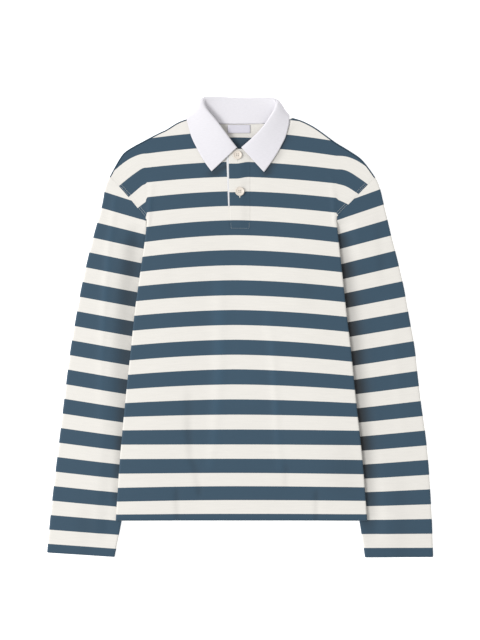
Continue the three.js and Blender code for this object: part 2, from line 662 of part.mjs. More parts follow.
BUTTONS.forEach(({ name, x, y }) => {
  const button = addPiece(name, buttonGeometry(), COLOURS.button, 0.4);
  button.position.set(x, y, frontTop(x, y) + PLACKET_CLOTH + 2 * SEAM_GAP);
});

export default shirt;
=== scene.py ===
import bisect
import math
from collections import namedtuple

import bmesh
import bpy
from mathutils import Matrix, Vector


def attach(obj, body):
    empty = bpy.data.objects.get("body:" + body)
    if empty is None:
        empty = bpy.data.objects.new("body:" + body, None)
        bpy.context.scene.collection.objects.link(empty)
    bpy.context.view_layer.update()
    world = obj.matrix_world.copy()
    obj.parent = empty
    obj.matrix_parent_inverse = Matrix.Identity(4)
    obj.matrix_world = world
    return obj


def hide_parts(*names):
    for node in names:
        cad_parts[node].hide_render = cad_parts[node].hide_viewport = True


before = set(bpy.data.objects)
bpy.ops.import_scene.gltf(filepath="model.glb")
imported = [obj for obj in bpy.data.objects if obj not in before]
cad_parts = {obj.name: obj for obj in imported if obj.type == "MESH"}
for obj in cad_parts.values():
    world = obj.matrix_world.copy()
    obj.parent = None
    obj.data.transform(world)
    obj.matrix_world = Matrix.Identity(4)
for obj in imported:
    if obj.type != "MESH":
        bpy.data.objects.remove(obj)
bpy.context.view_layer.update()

# A long-sleeved striped rugby shirt laid flat on its back.
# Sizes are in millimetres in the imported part's frame and turn into metres as each mesh is made.
MM = 0.001

# The photograph: its scale, its origin's column and row, its middle and the height that it covers.
MM_PER_PIXEL = 1.70
ORIGIN_COLUMN = 240.15
ORIGIN_ROW = 326.75
VIEW_CENTRE = (-0.26, 11.5)
VIEW_HEIGHT = 1088

# Cloth thicknesses, the placket's where it is pressed thin, and the gaps between pieces: one on
# the other, along a sewn seam, and at a seam's corner.
JERSEY = 1.6
COLLAR_CLOTH = 1.4
PLACKET_CLOTH = 1.4
PRESSED_CLOTH = 0.12
TAPE_CLOTH = 1
LABEL_CLOTH = 1
SEAM_GAP = 0.3
SEWN_GAP = 0.05
CORNER_GAP = 0.3

# How far a cut edge rounds out past its face: at a seam, and where it is free.
SEAM_ROUNDING = 0.1
FREE_ROUNDING = 0.6

# Heights of the laid layers, each from its lowest to its highest cloth.
BODY_LOFT = 6
MOST_FLATTENING = 1.6
TUCKED_SLEEVE_LOFT = 3.9
EDGE_RADIUS = 2
SLEEVE_LIFT = 4.4
COLLAR_LIFT = 1.9

# Where a layer rises or falls, from the start of the slope to its end.
BACK_SLOPE = (-52, -18)  # out from the tucked sleeve's hidden edge
FRONT_SLOPE = (-125, 0)
BACK_CHEST = (-16, 34)  # up from the armpit
FRONT_CHEST = (-40, 50)
ARMPIT_FOLD = (-1, 12)  # out from the armpit
COLLAR_UP = (300, 322)
COLLAR_OUT = (96, 116)
UNDER_BODY = (12, 36)  # out from the body's edge
ABOVE_CUFF = (-375, -344)
BELOW_ARMPIT = (-14, 0)

# Angles round a folded edge: 0 at the outermost point, 90 on top, -90 underneath.
TOP = 90
UNDERSIDE = -90
CORNER_ANGLE = 45
SHOULDER_SEAM = 75
HALF_SEAM = 10

# Which way the body lies from each of its sides.
INWARD = {"left": 1, "right": -1}

# The outline of the body: y and x up each side from the hem, then x and y of the rest.
BODY_SIDES = {
    "left": [
        (-329, -211.5), (-226, -204.5), (-124, -195), (-40, -186), (27, -179), (88, -170.5), (147, -162),
    ],
    "right": [(-329, 216), (-226, 208), (-124, 197), (-40, 188.5), (27, 180.5), (88, 174), (147, 167.5)],
}
ARMPIT = {"left": (-158.4, 181.5), "right": (163.8, 186.6)}
SHOULDER_TIP = {"left": (-222, 255.8), "right": (230, 254.5)}
NECK_POINT = {"left": (-87, 350.5), "right": (86.5, 352)}
SHOULDER_END = {"left": (-87, 354.5), "right": (86.5, 356)}
SHOULDER_LINE = {
    "left": [(-204.5, 287), (-192.5, 300), (-163.5, 316.5), (-137.5, 330), (-126, 335.3), (-106, 347.6)],
    "right": [(208.5, 283), (187.5, 298.5), (163, 313.5), (139, 331), (124, 341), (105, 350.5)],
}
ARMHOLE_BOW = {"left": 1.6, "right": 0.3}
BOWED_SECTIONS = 3  # how many of a sleeve's sections it takes to lose the armhole's bow
CHEST_ROW_Y = 226
FRONT_NECK_Y = 302.5
BACK_NECK_Y = 344.5

# The tucked sleeve's hidden edge: y, and its distance from the centre line.
TUCK_EDGE = [(-340, 202), (-200, 174), (-100, 150), (0, 127), (90, 115), (136, 121), (155, 135), (250, 138)]

# Sections of each sleeve from the armhole to the cuff: outer x and y, inner x and y, and the
# share of the body's lift that the section still has.
SLEEVE_SECTIONS = {
    "left": [
        (-222, 255.8, -159.8, 183.1, 1), (-226.7, 246, -159.2, 174, 0.45), (-230.6, 233, -158.6, 164, 0.05),
        (-233, 217, -156, 153, 0), (-238.5, 193, -148, 138, 0), (-247, 164, -134, 118, 0),
        (-260, 113.5, -119.5, 84, 0), (-271, 63.5, -120, 40, 0), (-280, 13.5, -129.5, -9, 0),
        (-288.5, -36, -140, -58, 0), (-295, -86, -151, -106, 0), (-301, -135.5, -162.5, -153, 0),
        (-307, -185.5, -174, -201, 0), (-313, -234.5, -185, -247, 0), (-318.8, -283.5, -195.5, -295, 0),
        (-324, -332.5, -203.8, -342, 0), (-328.6, -383.5, -213.4, -391, 0),
    ],
    "right": [
        (230, 254.5, 165.3, 188.1, 1), (235.5, 243, 164.4, 179, 0.45), (239.8, 229, 163.6, 169, 0.05),
        (243.5, 213, 161.5, 158, 0), (249.5, 188, 154, 143, 0), (256, 160, 140, 122, 0),
        (268, 113, 124, 86, 0), (279, 65, 121, 43, 0), (288, 15, 130, -7, 0), (297, -35, 140, -56, 0),
        (302.5, -85, 151, -106, 0), (308.5, -135, 162, -152, 0), (315.5, -184, 173, -200, 0),
        (320.5, -233, 184, -246, 0), (323.8, -282, 194.5, -290, 0), (326.5, -331, 203.5, -335, 0),
        (328.6, -391, 212.2, -391.8, 0),
    ],
}

# The collar's sections from its left end round the back to its right end: the angle round
# the neckline, the fold's point, the free edge's point, the tilt at which the cloth leaves the
# fold, and how far it arches past a straight line.
COLLAR_SECTIONS = [
    (-3, (-6, 304.5, 9), (-48.5, 264.8, 7.9), 90, 1),
    (-18, (-15.6, 316.6, 11), (-57.2, 276.3, 7.8), 90, 1),
    (-35, (-25.8, 330.2, 12.6), (-65.7, 289.8, 7.8), 90, 1),
    (-52, (-36, 343.8, 13.6), (-73.7, 304.7, 7.8), 85, 1),
    (-66, (-46.2, 356.6, 14.2), (-81.9, 321.7, 7.8), 80, 1),
    (-77, (-54.7, 366.8, 14.3), (-87, 338.7, 7.8), 70, 1.5),
    (-86, (-60, 375.4, 13.8), (-90.6, 353.6, 7.4), 52, 3),
    (-94, (-61.8, 381, 12.6), (-89.6, 359.4, 3.2), 30, 5),
    (-106, (-61.4, 387, 10.2), (-79, 353.5, 0.7), -5, 8),
    (-122, (-55.5, 390.6, 6.8), (-61, 344, 0.7), -50, 4),
    (-140, (-41, 391.1, 4.2), (-42, 339, 0.7), -80, 0.5),
    (-160, (-20.7, 390, 3), (-21, 336.5, 0.7), -90, 0),
    (-180, (-0.3, 389, 2.7), (0, 335.5, 0.7), -90, 0),
    (-200, (20.7, 388.9, 3), (21, 336.5, 0.7), -90, 0),
    (-220, (41, 389.1, 4.2), (42, 339, 0.7), -80, 0.5),
    (-238, (54.5, 388.2, 6.8), (61, 344, 0.7), -50, 4),
    (-254, (59.8, 384.8, 9.8), (77, 353.5, 0.7), -5, 6),
    (-266, (60.6, 380, 11.8), (83, 360.4, 3.2), 30, 3.5),
    (-274, (59.4, 374, 12.8), (83, 353.6, 7.4), 52, 2.2),
    (-283, (55.5, 364.5, 13.3), (81, 338.5, 7.8), 70, 1.5),
    (-294, (48.5, 353.5, 13.2), (76.5, 322.5, 7.8), 80, 1),
    (-308, (40, 341, 12.8), (69.5, 308, 7.8), 85, 1),
    (-325, (30, 329.5, 12), (62, 294.5, 7.8), 90, 1),
    (-342, (17, 317, 10.8), (51.5, 278.5, 7.8), 90, 1),
    (-357, (2.5, 304.5, 9), (40.5, 263.6, 7.9), 90, 1),
]
NECK_CLEARANCE = 0.8
NECK_TURN = (-0.35, 0.35)

# The curves of the fall and the stand: shares along them at which they leave the fold and arrive
# at their edges, the fall's crown, and the stand's share of the arch.
FALL_LEAVE = 0.2
FALL_ARRIVE = 0.62
FALL_CROWN = 0.4
STAND_LEAVE = 0.3
STAND_ARRIVE = 0.4
STAND_BULGE = 0.3
FOLD_RADIUS = 2
FOLD_GAP = 0.4
FOLD_ANGLES = [0, 15, 30, 45, 60, 75, 90]

# The half placket, how far in from its right edge and its bottom it is pressed, its tape and the
# label.
PLACKET = {"top_left": -19.6, "bottom_left": -17, "right": 16.7, "top": 301.4, "bottom": 166}
PRESSED_RIGHT = 18
PRESSED_BOTTOM = 7
TAPE = {"top_width": 3.4, "bottom_width": 1.7, "bottom": 204.4}
LABEL = {"left": -20.7, "right": 16.7, "top": 343, "bottom": 330}

# The buttons. Their rim is given by how far it lies inside the radius and its share of the height.
BUTTONS = {"button_top": (-4.5, 292), "button_second": (-0.6, 230)}
BUTTON_RADIUS = 7.75
BUTTON_HEIGHT = 2.6
BUTTON_RIM = [
    (1.2, 0), (0.4, 0.15), (0, 0.4), (0.1, 0.7), (0.4, 0.92), (0.9, 1), (1.4, 0.95), (1.9, 0.78), (2.5, 0.66),
    (3.4, 0.62),
]
WELL_RADIUS = 2.6
WELL_HEIGHT = 0.6
HOLE_PLACE = 1.4
HOLE_RADIUS = 0.8
HOLE_RISE = 0.02
BUTTON_THREAD = 0.7

# The lower end of a buttonhole, measured from the rim of its button.
BUTTONHOLE_START = 1.5
BUTTONHOLE_END = 3.8
BUTTONHOLE_LIP = 0.6
BUTTONHOLE_BAR = 1.2
BUTTONHOLE_THREAD = 1.1

# Stitches: their pitch, the share of it that shows, the shares between which one is full, the
# thread's width at each seam, how far the armhole's two rows lie inside its seam and which part of
# it they run along, and the box at the placket's foot.
STITCH_PITCH = 3.2
STITCH_SHARE = 0.72
STITCH_FULL = (0.2, 0.8)
SEAM_THREAD = 0.34
BOX_THREAD = 0.2
ARMHOLE_STITCHES = (1.6, 5)
ARMHOLE_PART = (0.05, 0.96)
BOX_INSIDE = 1.5
BOX_HEIGHT = 10
UP = Vector((0, 0, 1))

# How finely each piece is meshed. A strip's grid is its steps up and its columns.
SIDE_ROWS = 110
SEAM_ROWS = 26
SHOULDER_ROWS = 40
TIP_ROWS = 7
END_COLUMNS = 7
ACROSS_COLUMNS = 150
SLEEVE_STEPS = 11
SLEEVE_EDGE_STEPS = 8
SLEEVE_TOP_COLUMNS = 44
SLEEVE_UNDER_COLUMNS = 30
COLLAR_STEPS = 8
COLLAR_COLUMNS = 24
CURVE_SAMPLES = 16
PLACKET_GRID = (90, 31)
TAPE_GRID = (40, 5)
LABEL_GRID = (8, 21)
ARMHOLE_STEPS = 30
BUTTON_SIDES = 72
HOLE_SIDES = 16
STITCH_SIDES = 6

# A panel's rows: the room left at the front's shoulder tip, the least step from row to row, how
# far the end columns spread and up to which angle, how far the others crowd to the ends, how many
# rows beside the armpit and the tip lean straight in, and by how much.
TIP_CLEARANCE = 2.5
LEAST_ROW_STEP = 0.12
END_SPREAD = 2.1
SPREAD_ANGLE = 60
END_CROWDING = 0.4
ARMPIT_LEANING = 3
TIP_LEANING = 5
CORNER_LEAN = 2

# Navy stripes of the body from the shoulders to the hem: the middle's pixel row at the centre,
# and how far it has drooped at 75 pixels to the left and 95 to the right.
FIRST_BODY_STRIPE = -2
BODY_STRIPES = [
    (109.0, 5.6, 8.9), (139.0, 5.6, 8.9), (169.4, 4.1, 6.0), (198.6, 4.8, 6.0), (227.5, 5.3, 6.7),
    (257.7, 4.6, 5.8), (287.8, 3.8, 5.5), (317.5, 3.4, 5.1), (347.2, 3.3, 5.2), (376.8, 2.9, 4.2),
    (407.0, 1.6, 1.9), (437.1, 0.0, 0.3), (466.1, 0.1, 0.8), (493.0, 0.9, 0.5), (520.9, 0.0, 0.0),
]
DROOP_CENTRE = 235
DROOP_LEFT = 75
DROOP_RIGHT = 95
DROOP_POWER = 1.7

# Navy stripes of each sleeve from the cap to the cuff: the middle's pixel row at a reference
# column, and its slope.
FIRST_SLEEVE_STRIPE = -1
SLEEVE_REFERENCE = {"left": 105, "right": 380}
SLEEVE_STRIPES = {
    "left": [
        (165.5, 0.36), (201.0, 0.31), (232.5, 0.225), (263.4, 0.20), (293.8, 0.185), (323.9, 0.18),
        (353.7, 0.175), (383.4, 0.17), (412.6, 0.155), (441.5, 0.135), (470.0, 0.115), (498.6, 0.10),
        (526.8, 0.08), (555.1, 0.07),
    ],
    "right": [
        (165.0, -0.38), (197.4, -0.36), (230.2, -0.27), (262.7, -0.24), (293.8, -0.20), (324.2, -0.17),
        (354.2, -0.16), (383.7, -0.135), (413.2, -0.11), (442.1, -0.09), (470.7, -0.07), (498.8, -0.04),
        (527.0, -0.01), (555.0, 0.0),
    ],
}

# The part of the front outside the armpits' folds, where the stripes turn down. Each row is for a
# stripe from a pixel row: how far out it takes to turn, its slope from there on, and its step at
# the fold.
ARMPIT_COLUMN = {"left": 147, "right": 336.5}
WINGS = {
    "left": [
        (130, 46, 0.88, 0), (153, 28, 0.88, 0), (167, 14, 0.88, 0), (182, 2, 0.88, 0), (197, 2, 0.8, 2.5),
        (211, 2, 0.8, 9),
    ],
    "right": [
        (130, 46, 1.0, 0), (156, 42, 1.0, 0), (168, 24, 0.87, 0), (183, 12, 0.62, 0), (198, 2, 0.52, 1),
        (212, 2, 0.52, 3.5),
    ],
}
WING_FOLD = 1.4
LAST_WING_ROW = 225

# Behind the neck: how many pixels the back's stripes lie below the front's, and from which column
# off the centre and which row that fades. Then the number and the lowest row of the navy stripe
# that rolls over the shoulder, how many millimetres below the outline it fades, and between which
# shares of the way out of the neck it sets in.
BACK_SHIFT = 5.8
BACK_SHIFT_COLUMNS = (35, 85)
BACK_SHIFT_ROWS = (150, 200)
ROLLED_STRIPE = -1
LAST_ROLLED_ROW = 185
ROLLED_BELOW = (6, 12)
ROLLED_OUTSIDE = (0, 0.4)

# How many pixels the placket's stripes lie below the front's at its open edge, and where that
# fades.
PLACKET_SHIFT = 1.9
PLACKET_SHIFT_ROWS = (180, 205)
PLACKET_SHIFT_COLUMNS = (236, 249)

# A navy and a cream stripe together, the navy one's share of that, and the blur of their edge.
STRIPE_PERIOD = 50.6
NAVY_SHARE = 0.507
STRIPE_BLUR = 0.006

# Screen colours, and how much a step of painted light lightens the stripes' and painted shade darkens them.
NAVY = (36, 65, 84)
CREAM = (216, 213, 207)
COLLAR_WHITE = (217, 215, 220)
TAPE_WHITE = (211, 211, 213)
LABEL_WHITE = (198, 196, 205)
BUTTON_CREAM = (212, 203, 192)
THREAD_CREAM = (205, 203, 197)
# The colour painted as the shade inside a button's holes.
HOLE_SHADE_COLOUR = (120, 110, 100)
NAVY_LIGHTER = 0.18
NAVY_DARKER = 0.235
CREAM_LIGHTER = 0.015
CREAM_DARKER = 0.105
PAINTED_SHADING_UPWARD = 0.3  # the least upward lean of a face that gets painted light and shade

ROUGHNESS = {
    "jersey": 0.7, "collar_cloth": 0.75, "tape_cloth": 0.7, "label_cloth": 0.5,
    "button_plastic": 0.32, "thread": 0.7, "hole_shade": 0.9, "floor_paper": 0.95,
}

# Counts in one stripe period: the knit's loops, the woven cloth's threads, and the waves of each
# noise across the cloth and along it.
WALES = 48
COURSES = 62
THREADS = 90
WOBBLES = (40, 3)
STREAKS = (1.5, 26)
FLECKS = (60, 60)
SLUBS = (8, 60)

# Waves in a metre of the noises on the other materials.
CLOUD_SCALE = 260
THREAD_GRAIN = 2500
HOLE_GRAIN = 900
PAPER_GRAIN = 400

# Where most values of a noise lie, and all of a sine's.
NOISE = (0.3, 0.7)
WIDE_NOISE = (0.25, 0.75)
PAPER_NOISE = (0.2, 0.8)
SINE = (-1, 1)

# How dark and how light each pattern makes its colour.
STREAK_SHADE = (0.98, 1.015)
FLECK_SHADE = (0.96, 1.04)
LOOP_SHADE = (0.96, 1.03)
SLUB_SHADE = (0.97, 1.02)
WEAVE_SHADE = (0.96, 1.02)
CLOUD_SHADE = (0.94, 1.04)
GRAIN_SHADE = (0.92, 1.04)
PAPER_SHADE = (0.96, 0.98)

# Relief: each pattern's share of the height, then distance in metres and strength, and the sheen.
LOOP_RELIEF = 0.35
WALE_RELIEF = 1.2
FLECK_RELIEF = 0.6
SLUB_RELIEF = 0.5
JERSEY_BUMP = (0.0002, 0.5)
WOVEN_BUMP = (0.0001, 0.5)
BUTTON_BUMP = (0.00005, 0.4)
JERSEY_SHEEN = 0.15
WOVEN_SHEEN = 0.1

# The studio, in metres: the key light, the fill, the floor and the camera's lens in millimetres.
KEY_POWER = 305
KEY_SIZE = 2.25
KEY_PLACE = Vector((-4.6, 0.5, 4.3))
FILL_STRENGTH = 0.785
FLOOR_REACH = 12
FLOOR_GLOW = 0.5
CAMERA_LENS = 100
CAMERA_SENSOR = 36

# Long soft folds. Each has its height, negative in a trough, how much painted light it puts on
# the cloth, negative for painted shade, and a path of places from the bottom up: y, x, half
# width and strength there. Where the height is 0 the fold is only painted shade.
Fold = namedtuple("Fold", "height wear path")
FRONT_FOLDS = [
    # Painted shadows of the collar points on the front beside them, with no relief.
    Fold(0.0, -2.3, [
        (252, 40, 6, 0), (262, 46, 9, 0.9), (300, 64, 10, 1), (340, 85, 8, 0.4), (352, 90, 6, 0),
    ]),
    Fold(0.0, -2.3, [(250, -52, 8, 0), (261, -42, 13, 0.9), (280, -14, 13, 1), (292, -8, 8, 0)]),
    # Long ridges down the front, with painted highlights along them.
    Fold(1.1, 1.2, [
        (-252, -54.7, 8, 0), (-230, -50.4, 8, 0.5), (-192, -44.5, 8, 0.6), (-150, -42, 9, 0.8),
        (-106, -38.5, 10, 0.9), (-57, -36, 11, 1), (40, -36, 12, 0.9), (88, -36, 12, 0.4),
        (132, -37, 12, 0),
    ]),
    Fold(0.9, 1.0, [
        (-257, 69.4, 6, 0), (-238, 66.9, 6, 0.5), (-186, 62.6, 6, 0.7), (-133, 60, 6, 1),
        (-82, 57.2, 7, 0.9), (-34, 54, 8, 0.8), (12, 47.4, 9, 0.5), (60, 42, 10, 0),
    ]),
    Fold(0.5, 0.3, [(-160, 5, 34, 0), (-100, 5, 34, 1), (60, 4, 32, 1), (130, 3, 30, 0)]),
    # Troughs, with painted shade in them.
    Fold(-0.7, -0.9, [
        (-295, -68.3, 5, 0), (-279, -70, 5, 1), (-252, -75, 6, 0.8), (-215, -85, 6, 0.8),
        (-175, -87.8, 7, 1), (-124, -87.8, 8, 0.6), (-90, -87.8, 8, 0),
    ]),
    Fold(-0.7, -0.8, [(-327, -106.5, 5, 1), (-286, -108, 5, 1), (-264, -108, 5, 0)]),
    Fold(-0.7, -0.8, [(-327, 129.6, 4, 1), (-286, 129.6, 5, 1), (-272, 129.6, 5, 0)]),
    Fold(-0.5, -0.6, [(-280, 78, 5, 0), (-267, 78, 5, 1), (-243, 78, 5, 0.9), (-228, 77, 5, 0)]),
    # A broad painted shade over the lower right, which less of the key light reaches; then two more troughs
    # with painted shade.
    Fold(-0.4, -0.45, [(-300, 180, 26, 0), (-260, 180, 28, 1), (-210, 175, 28, 0.8), (-170, 172, 26, 0)]),
    Fold(-0.4, -0.25, [(20, -120, 14, 0), (70, -118, 14, 1), (140, -112, 14, 0)]),
    Fold(-0.4, -0.25, [(0, 112, 14, 0), (60, 116, 14, 1), (130, 112, 14, 0)]),
    # Ridges along the armpits' folds, with painted highlights along them.
    Fold(1.0, 0.5, [
        (160, -156, 3, 0), (182, -155, 3, 1), (205, -154, 4, 1), (240, -151, 5, 0.5), (262, -147, 6, 0),
    ]),
    Fold(1.0, 0.2, [
        (164, 161, 3, 0), (187, 160, 3, 1), (210, 159, 4, 1), (245, 156, 5, 0.5), (266, 152, 6, 0),
    ]),
]
# The back's folds carry painted shade; the last two have no height and are only painted shade inside the neck
# opening, under the collar.
BACK_FOLDS = [
    Fold(0.5, -0.5, [(-300, -60, 8, 0), (-200, -52, 9, 1), (-60, -46, 10, 0.7), (90, -40, 10, 0)]),
    Fold(0.4, -0.4, [(-290, 84, 7, 0), (-220, 76, 8, 1), (-120, 70, 9, 0.8), (30, 66, 9, 0)]),
    Fold(0.5, -0.4, [(-326, 12, 6, 1), (-270, 16, 7, 0.8), (-230, 18, 7, 0)]),
    Fold(0.4, -0.4, [(120, -70, 9, 0), (190, -84, 9, 1), (260, -104, 9, 0)]),
    Fold(0.4, -0.4, [(110, 76, 9, 0), (185, 90, 9, 1), (250, 112, 9, 0)]),
    Fold(0.0, -2.6, [(318, -34, 40, 0), (336, -34, 40, 1), (360, -34, 40, 1)]),
    Fold(0.0, -1.2, [(280, 0, 40, 1), (318, 0, 40, 1), (338, 0, 40, 0)]),
]
SLEEVE_FOLDS = {
    "left": [
        # A ridge along the sleeve with a painted highlight.
        Fold(1.0, 1.0, [
            (-200, -239, 6, 0), (-143, -238.2, 6, 0.3), (-68, -236.6, 6, 0.6), (8, -233.2, 6, 0.9),
            (56, -230.6, 6, 1), (110, -225.5, 6, 0.9), (209, -215.3, 6, 0.6), (236, -208, 6, 0),
        ]),
        # Painted shade on the sleeve where it slopes down under the body's edge.
        Fold(-1.0, -2.3, [
            (-330, -213, 6, 0), (-276, -210.5, 7, 0.6), (-198, -204, 10, 1), (-96, -197, 15, 1),
            (-22, -192, 19, 1), (56, -188, 21, 1), (130, -184, 18, 0.8), (172, -178, 10, 0),
        ]),
        # Painted shade darkening the lower sleeve.
        Fold(-0.4, -0.4, [(-383, -262, 14, 0.6), (-330, -262, 14, 1), (-280, -258, 14, 0)]),
    ],
    "right": [
        # Painted shadow cast by the body's edge on the sleeve beside it.
        Fold(-0.8, -3.9, [
            (-372, 219, 10, 0), (-300, 215, 16, 0.6), (-218, 207, 20, 1), (-124, 198.5, 21, 1),
            (-40, 190, 21, 1), (27, 182, 21, 1), (88, 175, 20, 1), (147, 168.5, 15, 0.8),
            (172, 165.5, 8, 0.3), (188, 164.5, 5, 0),
        ]),
        # A trough with painted shade, a ridge with a painted highlight, then painted shade darkening the
        # lower sleeve.
        Fold(-0.5, -0.4, [(40, 246, 8, 0), (110, 240, 8, 1), (180, 236, 8, 0.6), (215, 232, 8, 0)]),
        Fold(0.5, 0.2, [(-240, 282, 9, 0), (-120, 270, 9, 1), (20, 256, 9, 0.7), (90, 246, 9, 0)]),
        Fold(-0.5, -0.4, [(-391, 276, 16, 0.8), (-300, 276, 16, 1), (-200, 270, 16, 0)]),
    ],
}


def clamp(value, low, high):
    return max(low, min(high, value))


def lerp(start, end, share):
    return start + (end - start) * share


def smoothstep(value, start, end):
    share = clamp((value - start) / (end - start), 0, 1)
    return share * share * (3 - 2 * share)


def sin_degrees(angle):
    return math.sin(math.radians(angle))


def cos_degrees(angle):
    return math.cos(math.radians(angle))


def read_row(rows, place):
    """What follows the first value in a table's rows, on straight lines between rows that are in order."""
    if place <= rows[0][0]:
        return rows[0][1:]
    for before, after in zip(rows, rows[1:]):
        if place < after[0]:
            share = (place - before[0]) / (after[0] - before[0])
            return [lerp(low, high, share) for low, high in zip(before[1:], after[1:])]
    return rows[-1][1:]


class Line:
    """A curve held as short straight pieces and read by its share of the length."""

    def __init__(self, points):
        self.points = points
        self.lengths = [0.0]
        for before, after in zip(points, points[1:]):
            self.lengths.append(self.lengths[-1] + (after - before).length)
        self.length = self.lengths[-1]

    def piece(self, share):
        distance = clamp(share, 0, 1) * self.length
        i = clamp(bisect.bisect_right(self.lengths, distance) - 1, 0, len(self.points) - 2)
        return i, (distance - self.lengths[i]) / (self.lengths[i + 1] - self.lengths[i])

    def at(self, share):
        i, part = self.piece(share)
        return self.points[i].lerp(self.points[i + 1], part)

    def direction(self, share):
        i, _ = self.piece(share)
        return (self.points[i + 1] - self.points[i]).normalized()


def catmull_rom(before, start, end, after, share):
    """A value on the smooth curve between start and end, for numbers and vectors alike."""
    leave = (end - before) * 0.5
    arrive = (after - start) * 0.5
    cubic = (start - end) * 2 + leave + arrive
    square = (end - start) * 3 - leave * 2 - arrive
    return cubic * share**3 + square * share**2 + leave * share + start


def smooth_value(values, position):
    """Value at a fractional place in a list, on a smooth curve through its entries."""
    last = len(values) - 1
    i = min(int(position), last - 1)
    before, after = values[max(i - 1, 0)], values[min(i + 2, last)]
    return catmull_rom(before, values[i], values[i + 1], after, position - i)


def spline(points):
    """A smooth line through flat points."""
    vectors = [Vector(point) for point in points]
    steps = (len(points) - 1) * CURVE_SAMPLES
    return Line([smooth_value(vectors, i / CURVE_SAMPLES) for i in range(steps + 1)])


def bezier(start, leave, arrive, end):
    """A line along a cubic curve between two points."""
    shares = [i / (2 * CURVE_SAMPLES) for i in range(2 * CURVE_SAMPLES + 1)]
    return Line([
        start * (1 - t)**3 + leave * 3 * t * (1 - t)**2 + arrive * 3 * t * t * (1 - t) + end * t**3
        for t in shares
    ])


# Heights of the laid layers.

def side_of(x):
    return "left" if x < 0 else "right"


def inside_armpit_fold(x, y):
    """1 below the armpit and inside its fold, falling to 0 outside the fold."""
    armpit_x, armpit_y = ARMPIT[side_of(x)]
    return 1 - smoothstep(abs(x) - abs(armpit_x), *ARMPIT_FOLD) if y > armpit_y else 1


def over_sleeve(x, y, slope, chest):
    """How much a layer is raised at a place by the sleeve tucked under it, from 0 to 1."""
    edge, = read_row(TUCK_EDGE, y)
    below_chest = 1 - smoothstep(y - ARMPIT[side_of(x)][1], *chest)
    return smoothstep(abs(x) - edge, *slope) * below_chest * inside_armpit_fold(x, y)


def collar_lift(x, y):
    """How far the collar's hidden back part lifts the back's neck."""
    return COLLAR_LIFT * smoothstep(y, *COLLAR_UP) * (1 - smoothstep(abs(x), *COLLAR_OUT))


def lift(x, y):
    """How far the back is lifted off the surface."""
    return SLEEVE_LIFT * over_sleeve(x, y, BACK_SLOPE, BACK_CHEST) + collar_lift(x, y)


def body_loft(x, y):
    return BODY_LOFT - min(lift(x, y), MOST_FLATTENING)


def fold_strength(fold, x, y):
    """How strong a fold is at a place, from 0 to 1."""
    path = fold.path
    if y < path[0][0]:
        place = path[0]
    elif y >= path[-1][0]:
        place = path[-1]
    else:
        before, after = next(pair for pair in zip(path, path[1:]) if y < pair[1][0])
        share = smoothstep(y, before[0], after[0])
        place = [lerp(low, high, share) for low, high in zip(before, after)]
    _, middle, width, strength = place
    away = (x - middle) / width
    return strength * math.exp(-away * away) if strength and abs(away) < 3 else 0


def fold_height(folds, x, y):
    return sum(fold.height * fold_strength(fold, x, y) for fold in folds)


def fold_painted_shading(folds, x, y):
    return sum(fold.wear * fold_strength(fold, x, y) for fold in folds)


def front_top(x, y):
    """Top of the front's cloth, without its folds: it lies smoothly over the tucked sleeves."""
    from_collar = collar_lift(x, y)
    from_collar -= min(from_collar, MOST_FLATTENING)
    from_sleeve = (SLEEVE_LIFT - MOST_FLATTENING) * over_sleeve(x, y, FRONT_SLOPE, FRONT_CHEST)
    return BODY_LOFT + from_sleeve + from_collar


def body_height(x, y, angle, folds):
    """Height of the middle of the body's cloth at an angle round its edge."""
    low = lift(x, y) + JERSEY / 2
    high = front_top(x, y) - JERSEY / 2
    rise = sin_degrees(angle)
    return lerp(low, high, (1 + rise) / 2) + fold_height(folds, x, y) * abs(rise)


# Outlines of the body's panels.

def turned(along, side):
    """A flat direction up the side of the body, turned a quarter towards the body."""
    return Vector((along.y, -along.x)) * INWARD[side]


def armhole_frame(side):
    """The armpit, the shoulder tip and the unit vector from the seam into the body."""
    armpit = Vector(ARMPIT[side])
    tip = Vector(SHOULDER_TIP[side])
    return armpit, tip, turned((tip - armpit).normalized(), side)


def armhole_point(side, share):
    """A point of the armhole seam, from the armpit at 0 to the shoulder tip at 1."""
    armpit, tip, bodyward = armhole_frame(side)
    return armpit.lerp(tip, share) + bodyward * ARMHOLE_BOW[side] * math.sin(math.pi * share)


def rounded_inset(angle):
    return EDGE_RADIUS * (1 - cos_degrees(angle))


Station = namedtuple("Station", "part point angle inward")


